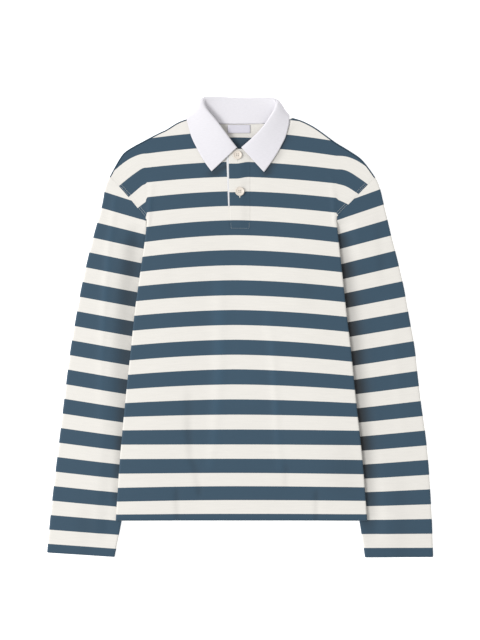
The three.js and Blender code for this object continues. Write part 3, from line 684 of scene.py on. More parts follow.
def stations(side, face):
    """Places up one side of a body panel, from the hem to the neck, where a row starts."""
    inward = Vector((INWARD[side], 0))
    start = face * HALF_SEAM
    edge = spline([(x, y) for y, x in BODY_SIDES[side]] + [ARMPIT[side]])
    found = []
    for i in range(SIDE_ROWS):
        found.append(Station("side", edge.at(i / SIDE_ROWS) + inward * JERSEY / 2, start, inward))
    armpit, tip, bodyward = armhole_frame(side)
    seam_length = (tip - armpit).length

    def on_seam(part, share, angle, way, clearance):
        point = armhole_point(side, share) + bodyward * clearance
        found.append(Station(part, point, angle, way.normalized()))

    def corner_share(angle):
        return (JERSEY / 2 + rounded_inset(angle)) / seam_length

    at_corner = inward * CORNER_LEAN + bodyward
    on_seam("side", JERSEY / 2 / seam_length, start, at_corner, CORNER_GAP)
    on_seam("seam", corner_share(CORNER_ANGLE), face * CORNER_ANGLE, at_corner, CORNER_GAP)
    last_share = 1 - corner_share(TOP) - (TIP_CLEARANCE / seam_length if face > 0 else 0)
    for i in range(SEAM_ROWS + 1):
        share = lerp(corner_share(TOP), last_share, i / SEAM_ROWS)
        near_corner = max(0, 1 - i / ARMPIT_LEANING, 1 - (SEAM_ROWS - i) / TIP_LEANING)
        on_seam("seam", share, face * TOP, bodyward.lerp(at_corner, near_corner), SEWN_GAP)
    shoulder_angle = SHOULDER_SEAM + face * HALF_SEAM
    last = TIP_ROWS - 1
    for i in range(TIP_ROWS) if face < 0 else [last]:
        angle = lerp(-CORNER_ANGLE, shoulder_angle, i / last)
        way = inward * CORNER_LEAN + bodyward * (1 - i / TIP_ROWS)
        on_seam("shoulder" if i == last else "seam", 1 - corner_share(angle), angle, way, CORNER_GAP)
    shoulder = spline([SHOULDER_TIP[side], *SHOULDER_LINE[side], SHOULDER_END[side]])
    inset = JERSEY / 2 + rounded_inset(shoulder_angle)
    for i in range(1, SHOULDER_ROWS + 1):
        way = turned(shoulder.direction(i / SHOULDER_ROWS), side)
        found.append(Station("shoulder", shoulder.at(i / SHOULDER_ROWS) + way * inset, shoulder_angle, way))
    return found


def row_end(station, face, folds):
    """Points at one end of a row, from its station round the edge to the flat of the panel."""
    flat = face * TOP
    points = []
    for k in range(END_COLUMNS):
        share = k / (END_COLUMNS - 1)
        angle = lerp(station.angle, flat, share)
        inset = EDGE_RADIUS * (cos_degrees(station.angle) - cos_degrees(angle))
        spread = share * END_SPREAD * (1 - smoothstep(abs(flat - station.angle), 0, SPREAD_ANGLE))
        place = station.point + station.inward * (inset + spread)
        points.append(Vector((place.x, place.y, body_height(place.x, place.y, angle, folds))))
    return points


def panel_rows(face, neck_y, folds):
    """Middle points of a body panel, rows from the hem to the neckline."""
    left = stations("left", face)
    right = stations("right", face)
    armpit_row = next(i for i, station in enumerate(left) if station.part == "seam") - 1
    tip_row = next(i for i, station in enumerate(left) if station.part == "shoulder")
    neck_row = len(left) - 1
    armpit_y = (left[armpit_row].point.y + right[armpit_row].point.y) / 2
    rows = []
    for i, station in enumerate(left):
        left_end = row_end(station, face, folds)
        right_end = row_end(right[i], face, folds)[::-1]
        start, end = left_end[-1], right_end[0]
        middle_y = (start.y + end.y) / 2
        if i > armpit_row:
            middle_y = lerp(armpit_y, CHEST_ROW_Y, min(1, (i - armpit_row) / (tip_row - armpit_row)))
        if i > tip_row:
            middle_y = lerp(CHEST_ROW_Y, neck_y, (i - tip_row) / (neck_row - tip_row))
        sag = middle_y - (start.y + end.y) / 2
        roundness = max(0, (i - tip_row) / (neck_row - tip_row))
        middle = []
        for k in range(1, ACROSS_COLUMNS + 1):
            even = k / (ACROSS_COLUMNS + 1)
            share = even - END_CROWDING * math.sin(2 * math.pi * even) / (2 * math.pi)
            soft_sag = math.sin(math.pi * share)**2
            round_sag = math.sqrt(1 - (2 * share - 1)**2)
            x = lerp(start.x, end.x, share)
            y = lerp(start.y, end.y, share) + sag * lerp(soft_sag, round_sag, roundness)
            middle.append(Vector((x, y, body_height(x, y, face * TOP, folds))))
        rows.append([*left_end, *middle, *right_end])
    for before, after in zip(rows, rows[1:]):
        for k in range(END_COLUMNS - 1, len(after) - END_COLUMNS + 1):
            after[k].y = max(after[k].y, before[k].y + LEAST_ROW_STEP)
    return rows


# Sleeves.

def sleeve_columns():
    """Places round a sleeve: the share across from its +X end, and the angle round the edge."""
    edge = [lerp(UNDERSIDE, TOP, i / SLEEVE_EDGE_STEPS) for i in range(SLEEVE_EDGE_STEPS + 1)]
    top = [((i + 1) / (SLEEVE_TOP_COLUMNS + 1), TOP) for i in range(SLEEVE_TOP_COLUMNS)]
    under = [(1 - (i + 1) / (SLEEVE_UNDER_COLUMNS + 1), UNDERSIDE) for i in range(SLEEVE_UNDER_COLUMNS)]
    return [*[(0, angle) for angle in edge], *top, *[(1, angle) for angle in edge[::-1]], *under]


def sleeve_loft(side, x, y):
    """Total height of the sleeve at a place: flatter where the body lies on it."""
    armpit_x, armpit_y = ARMPIT[side]
    body_edge, = read_row([*BODY_SIDES[side], (armpit_y, armpit_x)], y)
    under_body = 1 - smoothstep(abs(x) - abs(body_edge), *UNDER_BODY)
    below_armpit = 1 - smoothstep(y - armpit_y, *BELOW_ARMPIT)
    return lerp(BODY_LOFT, TUCKED_SLEEVE_LOFT, under_body * smoothstep(y, *ABOVE_CUFF) * below_armpit)


def sleeve_rows(side):
    """Middle points of a sleeve, one closed section a row from the armhole to the cuff."""
    away_from_body = -armhole_frame(side)[2]
    sections = SLEEVE_SECTIONS[side]
    columns = sleeve_columns()
    folds = SLEEVE_FOLDS[side]
    rows = []
    for step in range((len(sections) - 1) * SLEEVE_STEPS + 1):
        position = step / SLEEVE_STEPS
        out_x, out_y, in_x, in_y, lifted = [smooth_value(values, position) for values in zip(*sections)]
        lifted = clamp(lifted, 0, 1)
        outer, inner = Vector((out_x, out_y)), Vector((in_x, in_y))
        start, end = (inner, outer) if side == "left" else (outer, inner)
        width = (end - start).length
        bow = max(0, 1 - position / BOWED_SECTIONS)
        row = []
        for share, angle in columns:
            inset = JERSEY / 2 + rounded_inset(angle)
            along = lerp(inset, width - inset, share) / width
            bowed = SEWN_GAP * max(0, 1 - position) - ARMHOLE_BOW[side] * bow * math.sin(math.pi * along)
            point = start.lerp(end, along) + away_from_body * bowed
            own_loft = sleeve_loft(side, point.x, point.y)
            loft = lerp(own_loft, body_loft(point.x, point.y), lifted)
            rise = sin_degrees(angle)
            z = lift(point.x, point.y) * lifted + loft / 2 + (loft - JERSEY) / 2 * rise
            z += max(0, rise) * fold_height(folds, point.x, point.y)
            row.append(Vector((point.x, point.y, z)))
        rows.append(row)
    return rows


# Collar.

NECK_CENTRE = (Vector(NECK_POINT["left"]) + Vector(NECK_POINT["right"])) / 2


def neck_seam(around):
    """A point of the neckline, two half ellipses, by the angle round from the centre front."""
    across = (NECK_POINT["right"][0] - NECK_POINT["left"][0]) / 2 - NECK_CLEARANCE
    nearest = FRONT_NECK_Y if cos_degrees(around) > 0 else BACK_NECK_Y
    depth = NECK_CENTRE.y - nearest - NECK_CLEARANCE
    x = NECK_CENTRE.x + across * sin_degrees(around)
    y = NECK_CENTRE.y - depth * abs(cos_degrees(around))
    back_z = COLLAR_LIFT + JERSEY / 2
    front_z = BODY_LOFT - JERSEY / 2
    return Vector((x, y, lerp(back_z, front_z, smoothstep(cos_degrees(around), *NECK_TURN))))


CollarSection = namedtuple("CollarSection", "around fold edge tilt bulge heading")


def collar_sections():
    """The collar's sections with smooth ones between them, and where the cloth leaves each fold."""
    arounds, folds, edges, tilts, bulges = zip(*COLLAR_SECTIONS)
    folds = [Vector(fold) for fold in folds]
    edges = [Vector(edge) for edge in edges]
    last = len(folds) - 1

    def smooth_values(position, *lists):
        return [smooth_value(values, position) for values in lists]

    found = []
    for step in range(last * COLLAR_STEPS + 1):
        position = step / COLLAR_STEPS
        before = smooth_value(folds, max(position - 1, 0))
        after = smooth_value(folds, min(position + 1, last))
        outward = Vector((before.y - after.y, after.x - before.x, 0)).normalized()
        tilt = smooth_value(tilts, position)
        heading = outward * cos_degrees(tilt) + UP * sin_degrees(tilt)
        around, fold, edge, bulge = smooth_values(position, arounds, folds, edges, bulges)
        found.append(CollarSection(around, fold, edge, tilt, bulge, heading))
    return found


def folded_points(heading, curve):
    """Points from the crest of the fold along a curve that starts one radius off it."""
    bend = [FOLD_RADIUS * (1 - cos_degrees(angle)) for angle in FOLD_ANGLES]
    rest = [lerp(FOLD_RADIUS, curve.length, (k + 1) / COLLAR_COLUMNS) for k in range(COLLAR_COLUMNS)]
    points = []
    for distance in [*bend, *rest]:
        short = 1 - min(1, distance / FOLD_RADIUS)
        lag = FOLD_RADIUS * (1 - math.sqrt(1 - short * short))
        points.append(curve.at(distance / curve.length) - heading * lag)
    return points


def fall_rows():
    """The turned-down part, each row from the fold to the free edge."""
    rows = []
    for section in collar_sections():
        start = section.fold + section.heading * (FOLD_RADIUS + FOLD_GAP / 2)
        leave = start.lerp(section.edge, FALL_LEAVE) + section.heading * section.bulge
        arrive = section.edge.lerp(leave, FALL_ARRIVE)
        crown = max(0, sin_degrees(section.tilt)) * FALL_CROWN
        arrive.z = section.edge.z + crown * (start.z - section.edge.z)
        points = folded_points(section.heading, bezier(start, leave, arrive, section.edge))
        for point in points:
            point.z = max(point.z, COLLAR_CLOTH / 2)
        rows.append(points)
    return rows


def stand_rows():
    """The stand, each row from the sewn edge to the fold."""
    rows = []
    for section in collar_sections():
        heading = -section.heading
        start = section.fold + heading * (FOLD_RADIUS + FOLD_GAP / 2)
        neck = neck_seam(section.around)
        leave = start.lerp(neck, STAND_LEAVE) + heading * section.bulge * STAND_BULGE
        arrive = neck.lerp(leave, STAND_ARRIVE)
        arrive.z = neck.z
        rows.append(folded_points(heading, bezier(start, leave, arrive, neck))[::-1])
    return rows


# Placket, tape and label.

def strip_rows(bottom, top, sides, grid, surface, above):
    """A flat strip that follows a surface; sides gives its left and right edges at a height."""
    steps, columns = grid
    rows = []
    for i in range(steps + 1):
        y = lerp(bottom, top, i / steps)
        left, right = sides(y)
        row_x = [lerp(left, right, k / (columns - 1)) for k in range(columns)]
        rows.append([Vector((x, y, surface(x, y) + above)) for x in row_x])
    return rows


def placket_left(y):
    share = (y - PLACKET["bottom"]) / (PLACKET["top"] - PLACKET["bottom"])
    return lerp(PLACKET["bottom_left"], PLACKET["top_left"], share)


def placket_thickness(point):
    """The placket is pressed thin along its sewn right edge and its bottom."""
    from_right = smoothstep(PLACKET["right"] - point.x, 0, PRESSED_RIGHT)
    from_bottom = smoothstep(point.y - PLACKET["bottom"], 0, PRESSED_BOTTOM)
    return lerp(PRESSED_CLOTH, PLACKET_CLOTH, from_right * from_bottom)


def placket_rows():
    def sides(y):
        return placket_left(y), PLACKET["right"]

    rows = strip_rows(PLACKET["bottom"], PLACKET["top"], sides, PLACKET_GRID, front_top, 0)
    for point in (point for row in rows for point in row):
        thickness = placket_thickness(point)
        point.z += SEAM_GAP * thickness / PLACKET_CLOTH + thickness / 2
    return rows


def tape_rows():
    def sides(y):
        share = (y - TAPE["bottom"]) / (PLACKET["top"] - TAPE["bottom"])
        right = placket_left(y) - SEAM_GAP
        return right - lerp(TAPE["bottom_width"], TAPE["top_width"], share), right

    return strip_rows(TAPE["bottom"], PLACKET["top"], sides, TAPE_GRID, front_top, SEAM_GAP + TAPE_CLOTH / 2)


def label_rows():
    def sides(_):
        return LABEL["left"], LABEL["right"]

    above = JERSEY + SEAM_GAP + LABEL_CLOTH / 2
    return strip_rows(LABEL["bottom"], LABEL["top"], sides, LABEL_GRID, lift, above)


# Where each point lies among the stripes.

def pixel(x, y):
    """The photograph's column and row of a place on the surface."""
    return ORIGIN_COLUMN + x / MM_PER_PIXEL, ORIGIN_ROW - y / MM_PER_PIXEL


def stripe_number(lines, first, row):
    """The fractional number of a stripe at a pixel row, from the rows of the whole numbers."""
    i = clamp(bisect.bisect_right(lines, row) - 1, 0, len(lines) - 2)
    return first + i + (row - lines[i]) / (lines[i + 1] - lines[i])


def body_lines(column):
    """Pixel rows of the body's navy stripes at a column."""
    away = column - DROOP_CENTRE
    reach = (abs(away) / (DROOP_LEFT if away < 0 else DROOP_RIGHT)) ** DROOP_POWER
    return [middle + reach * (left if away < 0 else right) for middle, left, right in BODY_STRIPES]


def body_stripe(column, row):
    return stripe_number(body_lines(column), FIRST_BODY_STRIPE, row)


def wing_drop(side, outside, row):
    """How far a stripe from a pixel row has turned down at a distance outside the armpit's fold."""
    turn, slope, step = read_row(WINGS[side], row)
    share = clamp(outside / turn, 0, 1)
    bent = turn * (share**3 - share**4 / 2) + max(0, outside - turn)
    return slope * bent + step * smoothstep(outside, 0, WING_FOLD)


def front_stripe(point):
    """The front's stripes, which turn down outside the folds above the armpits."""
    column, row = pixel(point.x, point.y)
    side = side_of(point.x)
    outside = (ARMPIT_COLUMN[side] - column) * INWARD[side]
    if outside <= 0 or row > LAST_WING_ROW:
        return body_stripe(column, row)
    lines = [line + wing_drop(side, outside, line) for line in body_lines(ARMPIT_COLUMN[side])]
    return stripe_number(lines, FIRST_BODY_STRIPE, row)


def shoulder_y(x):
    """Height of the shoulder's outline above a place."""
    side = side_of(x)
    y, = read_row(sorted([SHOULDER_TIP[side], *SHOULDER_LINE[side], SHOULDER_END[side]]), x)
    return y


def back_stripe(point):
    """The back's stripes, and the navy one that rolls over the shoulder seams."""
    column, row = pixel(point.x, point.y)
    outside = smoothstep(abs(column - ORIGIN_COLUMN), *BACK_SHIFT_COLUMNS)
    shift = BACK_SHIFT * (1 - outside) * (1 - smoothstep(row, *BACK_SHIFT_ROWS))
    number = body_stripe(column, row - shift)
    if outside == 0 or row > LAST_ROLLED_ROW:
        return number
    near_seam = 1 - smoothstep(shoulder_y(point.x) - point.y, *ROLLED_BELOW)
    return lerp(number, ROLLED_STRIPE, near_seam * smoothstep(outside, *ROLLED_OUTSIDE))


def placket_stripe(point):
    """The placket's stripes lie below the front's at its open edge and meet them at the sewn one."""
    column, row = pixel(point.x, point.y)
    near_top = 1 - smoothstep(row, *PLACKET_SHIFT_ROWS)
    near_left = 1 - smoothstep(column, *PLACKET_SHIFT_COLUMNS)
    return body_stripe(column, row - PLACKET_SHIFT * near_top * near_left)


def sleeve_stripe(side):
    def stripe(point):
        column, row = pixel(point.x, point.y)
        away = column - SLEEVE_REFERENCE[side]
        lines = [middle + slope * away for middle, slope in SLEEVE_STRIPES[side]]
        return stripe_number(lines, FIRST_SLEEVE_STRIPE, row)
    return stripe


def plain_place(point):
    return point.y / STRIPE_PERIOD


# Meshes.

def tangent(points, k, closed):
    """Direction of a line of points at one of them. At an end it follows the line's bend."""
    last = len(points) - 1
    if closed:
        return points[(k + 1) % len(points)] - points[k - 1]
    if 0 < k < last:
        return points[k + 1] - points[k - 1]
    step = 1 if k == 0 else -1
    near = points[k + step] - points[k]
    if last < 2:
        return near * step
    far = points[k + 2 * step] - points[k + step]
    share = near.length / (near.length + far.length)
    return (near.normalized() * (1 + share) - far.normalized() * share) * step


def grid_normals(rows, closed):
    columns = list(zip(*rows))
    return [
        [tangent(row, j, closed).cross(tangent(columns[j], i, False)).normalized() for j in range(len(row))]
        for i, row in enumerate(rows)
    ]


def boundary_loops(row_count, column_count, closed):
    """The grid's edges as closed loops of row and column numbers."""
    last_row, last_column = row_count - 1, column_count - 1
    first = [(0, j) for j in range(column_count)]
    if closed:
        return [first, [(last_row, j) for j in range(column_count)]]
    right = [(i, last_column) for i in range(1, row_count)]
    far = [(last_row, j) for j in range(last_column - 1, -1, -1)]
    left = [(i, 0) for i in range(last_row - 1, 0, -1)]
    return [first + right + far + left]


def outward_direction(rows, i, j, closed):
    """Way out of the grid at a point of its edge, along the cloth."""
    way = Vector((0, 0, 0))
    column = [row[j] for row in rows]
    if i == 0:
        way -= tangent(column, i, False).normalized()
    if i == len(rows) - 1:
        way += tangent(column, i, False).normalized()
    if not closed and j == 0:
        way -= tangent(rows[i], j, False).normalized()
    if not closed and j == len(rows[0]) - 1:
        way += tangent(rows[i], j, False).normalized()
    return way.normalized()


def cloth_piece(name, rows, thickness, stripe, rounding, folds=(), closed=False):
    """A closed thin shell round a grid of middle points, with rounded edges.

    thickness is a number or a function of the point. rounding is how far the edge rounds out, a
    number or a function of the row and column number. The map named Cloth holds where each point
    lies across the cloth and among its stripes. The attribute on the points holds the light and
    shade painted along the folds: lighter above zero, darker below."""
    row_count, column_count = len(rows), len(rows[0])
    normals = grid_normals(rows, closed)
    points, places, light_and_shade_paint = [], [], []
    for side in (0.5, -0.5):
        for i, row in enumerate(rows):
            for j, point in enumerate(row):
                thick = thickness(point) if callable(thickness) else thickness
                points.append((point + normals[i][j] * side * thick) * MM)
                places.append((point.x / STRIPE_PERIOD, stripe(point)))
                light_and_shade_paint.append(fold_painted_shading(folds, point.x, point.y) if normals[i][j].z > PAINTED_SHADING_UPWARD else 0)
    layer = row_count * column_count

    def outer(i, j):
        return i * column_count + j % column_count

    faces = []
    for i in range(row_count - 1):
        for j in range(column_count if closed else column_count - 1):
            corners = [outer(i, j), outer(i, j + 1), outer(i + 1, j + 1), outer(i + 1, j)]
            faces.append(corners)
            faces.append([layer + corner for corner in reversed(corners)])
    for loop in boundary_loops(row_count, column_count, closed):
        first_rim = len(points)
        for i, j in loop:
            reach = rounding(i, j) if callable(rounding) else rounding
            push = outward_direction(rows, i, j, closed) * reach
            points.append((rows[i][j] + push) * MM)
            places.append(places[outer(i, j)])
            light_and_shade_paint.append(light_and_shade_paint[outer(i, j)])
        for k, (i, j) in enumerate(loop):
            after = (k + 1) % len(loop)
            here, there = outer(i, j), outer(*loop[after])
            faces.append([here, first_rim + k, first_rim + after, there])
            faces.append([first_rim + k, layer + here, layer + there, first_rim + after])
    piece = make_object(name, points, faces, places)
    piece.data.attributes.new("wear", "FLOAT", "POINT").data.foreach_set("value", light_and_shade_paint)
    return piece


def make_object(name, points, faces, places=None):
    """An object on the part's only body, with its faces turned outwards."""
    mesh = bpy.data.meshes.new(name)
    mesh.from_pydata([tuple(point) for point in points], [], faces)
    if places:
        layer = mesh.uv_layers.new(name="Cloth")
        corners = [0] * len(mesh.loops)
        mesh.loops.foreach_get("vertex_index", corners)
        layer.data.foreach_set("uv", [value for corner in corners for value in places[corner]])
    work = bmesh.new()
    work.from_mesh(mesh)
    bmesh.ops.recalc_face_normals(work, faces=work.faces)
    work.to_mesh(mesh)
    work.free()
    mesh.shade_smooth()
    made = bpy.data.objects.new(name, mesh)
    bpy.context.scene.collection.objects.link(made)
    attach(made, "root")
    return made


# Materials.

def linear(screen_colour):
    """Scene colour of an 8-bit screen colour."""
    def channel(value):
        share = value / 255
        return share / 12.92 if share <= 0.04045 else ((share + 0.055) / 1.055) ** 2.4
    return (*[channel(value) for value in screen_colour], 1)


class Nodes:
    """Short ways to add nodes to one material."""

    def __init__(self, name):
        self.material = bpy.data.materials.new(name)
        self.material.use_nodes = True
        self.tree = self.material.node_tree
        self.shader = self.tree.nodes["Principled BSDF"]
        self.shader.inputs["Roughness"].default_value = ROUGHNESS[name]

    def add(self, kind, **settings):
        node = self.tree.nodes.new(kind)
        for key, value in settings.items():
            setattr(node, key, value)
        return node

    def join(self, source, target):
        self.tree.links.new(source, target)

    def math(self, operation, first, second=0.0, third=0.0):
        """A Math node's result; each value is a number or another node's output."""
        node = self.add("ShaderNodeMath", operation=operation)
        for socket, value in zip(node.inputs, (first, second, third)):
            self.feed(socket, value)
        return node.outputs[0]

    def feed(self, socket, value):
        if isinstance(value, bpy.types.NodeSocket):
            self.join(value, socket)
        else:
            socket.default_value = value

    def times(self, first, second):
        return self.math("MULTIPLY", first, second)

    def ramp(self, value, span, result):
        """A value taken smoothly from one span to another."""
        node = self.add("ShaderNodeMapRange", interpolation_type="SMOOTHSTEP")
        for socket, part in zip(node.inputs, (value, *span, *result)):
            self.feed(socket, part)
        return node.outputs[0]

    def mix(self, share, first, second, blend="MIX"):
        """A colour mixed from two."""
        node = self.add("ShaderNodeMix", data_type="RGBA", blend_type=blend)
        for i, value in ((0, share), (6, first), (7, second)):
            self.feed(node.inputs[i], value)
        return node.outputs[2]

    def shaded(self, colour, shade):
        return self.mix(1, colour, shade, "MULTIPLY")

    def cloth_place(self):
        """Across the cloth and along it, both in stripe periods."""
        node = self.add("ShaderNodeUVMap", uv_map="Cloth")
        parts = self.add("ShaderNodeSeparateXYZ")
        self.join(node.outputs[0], parts.inputs[0])
        return parts.outputs[0], parts.outputs[1]

    def noise(self, place, waves, detail=2):
        """Smooth noise on the cloth, with this many waves in a stripe period each way."""
        vector = self.add("ShaderNodeCombineXYZ")
        for socket, value, count in zip(vector.inputs, place, waves):
            self.join(self.times(value, count), socket)
        return self.noise_at(vector.outputs[0], 1, detail)

    def grain(self, scale):
        """Smooth noise in the object's own space."""
        return self.noise_at(self.add("ShaderNodeTexCoord").outputs["Object"], scale, 2)

    def noise_at(self, vector, scale, detail):
        node = self.add("ShaderNodeTexNoise")
        self.join(vector, node.inputs["Vector"])
        node.inputs["Scale"].default_value = scale
        node.inputs["Detail"].default_value = detail
        return node.outputs["Fac"]

    def bump(self, height, distance, strength):
        node = self.add("ShaderNodeBump")
        node.inputs["Distance"].default_value = distance
        node.inputs["Strength"].default_value = strength
        self.join(height, node.inputs["Height"])
        self.join(node.outputs[0], self.shader.inputs["Normal"])

    def colour(self, value):
        self.feed(self.shader.inputs["Base Color"], value)

    def sheen(self, weight):
        self.shader.inputs["Sheen Weight"].default_value = weight


def light_and_shade_paint(nodes, colour, wear, lighter, darker):
    """A stripe's colour with painted light where the value is above zero and painted shade below."""
    gain = nodes.times(nodes.math("MAXIMUM", wear, 0.0), lighter)
    loss = nodes.times(nodes.math("MINIMUM", wear, 0.0), darker)
    factor = nodes.math("ADD", nodes.math("ADD", gain, loss), 1.0)
    return nodes.shaded(linear(colour), factor)


def jersey_material():
    """Cotton jersey knitted in cream and navy stripes."""
    nodes = Nodes("jersey")
    across, along = place = nodes.cloth_place()
    blur = nodes.math("SUBTRACT", along, STRIPE_BLUR)
    edge = nodes.math("MULTIPLY_ADD", nodes.noise(place, WOBBLES), 2 * STRIPE_BLUR, blur)
    from_middle = nodes.math("PINGPONG", edge, 0.5)
    navy_edge = (NAVY_SHARE / 2 - STRIPE_BLUR, NAVY_SHARE / 2 + STRIPE_BLUR)
    navy_share = nodes.ramp(from_middle, navy_edge, (1, 0))
    wale = nodes.math("PINGPONG", nodes.times(across, WALES), 0.5)
    course = nodes.math("ADD", nodes.times(along, COURSES), wale)
    loop = nodes.math("SINE", nodes.times(course, 2 * math.pi))
    fleck = nodes.noise(place, FLECKS)
    shade = nodes.ramp(nodes.noise(place, STREAKS, detail=3), NOISE, STREAK_SHADE)
    shade = nodes.times(shade, nodes.ramp(fleck, WIDE_NOISE, FLECK_SHADE))
    shade = nodes.times(shade, nodes.ramp(loop, SINE, LOOP_SHADE))
    # The light and shade painted along the folds, read from the points.
    wear = nodes.add("ShaderNodeAttribute", attribute_name="wear").outputs["Fac"]
    navy = light_and_shade_paint(nodes, NAVY, wear, NAVY_LIGHTER, NAVY_DARKER)
    cream = light_and_shade_paint(nodes, CREAM, wear, CREAM_LIGHTER, CREAM_DARKER)
    nodes.colour(nodes.shaded(nodes.mix(navy_share, cream, navy), shade))
    height = nodes.math("MULTIPLY_ADD", loop, LOOP_RELIEF, nodes.times(wale, WALE_RELIEF))
    height = nodes.math("MULTIPLY_ADD", fleck, FLECK_RELIEF, height)
    nodes.bump(height, *JERSEY_BUMP)
    nodes.sheen(JERSEY_SHEEN)
    return nodes.material


def woven_material(name, screen_colour, threads=THREADS):
    """Plain woven cotton: fine threads both ways, with slubs."""
    nodes = Nodes(name)
    place = nodes.cloth_place()
    warp, weft = [nodes.math("SINE", nodes.times(way, threads * 2 * math.pi)) for way in place]
    weave = nodes.times(warp, weft)
    slub = nodes.noise(place, SLUBS, detail=3)
    shade = nodes.times(nodes.ramp(slub, NOISE, SLUB_SHADE), nodes.ramp(weave, SINE, WEAVE_SHADE))
    nodes.colour(nodes.shaded(linear(screen_colour), shade))
    nodes.bump(nodes.math("MULTIPLY_ADD", slub, SLUB_RELIEF, weave), *WOVEN_BUMP)
    nodes.sheen(WOVEN_SHEEN)
    return nodes.material


def button_material():
    """Cream moulded plastic with a faint cloud in it."""
    nodes = Nodes("button_plastic")
    cloud = nodes.grain(CLOUD_SCALE)
    nodes.colour(nodes.shaded(linear(BUTTON_CREAM), nodes.ramp(cloud, NOISE, CLOUD_SHADE)))
    nodes.bump(cloud, *BUTTON_BUMP)
    return nodes.material


def plain_material(name, screen_colour, scale):
    """One colour with a fine grain, for thread and for the shade in a hole."""
    nodes = Nodes(name)
    nodes.colour(nodes.shaded(linear(screen_colour), nodes.ramp(nodes.grain(scale), NOISE, GRAIN_SHADE)))
    return nodes.material


def floor_material():
    """Plain white paper with a very fine grain, lit a little from below."""
    nodes = Nodes("floor_paper")
    nodes.colour(nodes.ramp(nodes.grain(PAPER_GRAIN), PAPER_NOISE, PAPER_SHADE))
    nodes.shader.inputs["Emission Color"].default_value = (1, 1, 1, 1)
    nodes.shader.inputs["Emission Strength"].default_value = FLOOR_GLOW
    return nodes.material


# The dressed pieces.

def free_row(number):
    """Rounding of a piece that is sewn all round but for one row, which is a free edge."""
    return lambda i, _: FREE_ROUNDING if i == number else SEAM_ROUNDING


def fall_edge(_, j):
    """The fall is free all round but for its fold."""
    return SEAM_ROUNDING if j == 0 else FREE_ROUNDING


def dress(piece, material, node):
    piece.data.materials.append(material)
    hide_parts(node)
    return piece


def make_panel(node, face, neck_y, stripe, folds, jersey):
    rows = panel_rows(face, neck_y, folds)
    panel = cloth_piece(f"{node}_cloth", rows, JERSEY, stripe, free_row(0), folds)
    return dress(panel, jersey, node)


def make_body(jersey):
    back = make_panel("back", -1, BACK_NECK_Y, back_stripe, BACK_FOLDS, jersey)
    front = make_panel("front", 1, FRONT_NECK_Y, front_stripe, FRONT_FOLDS, jersey)


def make_sleeves(jersey):
    areas = {"left": 0.161, "right": 0.170}
    for side, area in areas.items():
        rows = sleeve_rows(side)
        cuff = free_row(len(rows) - 1)
        folds = SLEEVE_FOLDS[side]
        name = f"sleeve_{side}_cloth"
        sleeve = cloth_piece(name, rows, JERSEY, sleeve_stripe(side), cuff, folds, closed=True)
        dress(sleeve, jersey, f"sleeve_{side}")


def make_collar(cloth):
    stand = cloth_piece("collar_stand_cloth", stand_rows(), COLLAR_CLOTH, plain_place, SEAM_ROUNDING)
    dress(stand, cloth, "collar_stand")
    fall = cloth_piece("collar_fall_cloth", fall_rows(), COLLAR_CLOTH, plain_place, fall_edge)
    dress(fall, cloth, "collar_fall")


def make_trims(jersey, tape_cloth, label_cloth):
    pressed = PRESSED_CLOTH / 2
    placket = cloth_piece("placket_cloth", placket_rows(), placket_thickness, placket_stripe, pressed)
    dress(placket, jersey, "placket")
    tape = cloth_piece("placket_tape_cloth", tape_rows(), TAPE_CLOTH, plain_place, FREE_ROUNDING)
    dress(tape, tape_cloth, "placket_tape")
    label = cloth_piece("label_cloth", label_rows(), LABEL_CLOTH, plain_place, FREE_ROUNDING)
    dress(label, label_cloth, "label")


def circle(sides):
    """The cosine and sine of even turns all round."""
    turns = [2 * math.pi * k / sides for k in range(sides)]
    return [(math.cos(turn), math.sin(turn)) for turn in turns]


def lathe(outline, sides):
    """Points and faces of an outline turned round the axis, where it starts and ends."""
    points = [Vector((0, 0, outline[0][1]))]
    for radius, height in outline[1:-1]:
        points += [Vector((radius * cosine, radius * sine, height)) for cosine, sine in circle(sides)]
    points.append(Vector((0, 0, outline[-1][1])))
    faces = []
    rings = len(outline) - 2
    for k in range(sides):
        after = (k + 1) % sides
        faces.append([0, 1 + after, 1 + k])
        for ring in range(rings - 1):
            base = 1 + ring * sides
            faces.append([base + k, base + after, base + sides + after, base + sides + k])
        top = 1 + (rings - 1) * sides
        faces.append([top + k, top + after, len(points) - 1])
    return points, faces


def button_outline():
    """Half section of a button with a rolled rim round a dished well."""
    rim = [(BUTTON_RADIUS - inside, share * BUTTON_HEIGHT) for inside, share in BUTTON_RIM]
    well = WELL_HEIGHT * BUTTON_HEIGHT
    return [(0, 0), *rim, (WELL_RADIUS, well), (0, well)]


def make_buttons(plastic, thread, hole_shade):
    points, faces = lathe(button_outline(), BUTTON_SIDES)
    for name, (x, y) in BUTTONS.items():
        centre = Vector((x, y, front_top(x, y) + PLACKET_CLOTH + 2 * SEAM_GAP))
        button = make_object(f"{name}_moulded", [(point + centre) * MM for point in points], faces)
        dress(button, plastic, name)
        well = centre + UP * (WELL_HEIGHT * BUTTON_HEIGHT)
        make_holes(name, well, hole_shade)
        bars = []
        for up in (-HOLE_PLACE, HOLE_PLACE):
            bars.append([well + Vector((across, up, 0)) for across in (-HOLE_PLACE, HOLE_PLACE)])
        make_stitches(f"{name}_thread", bars, BUTTON_THREAD, thread)
        make_buttonhole(name, x, y - BUTTON_RADIUS, thread)


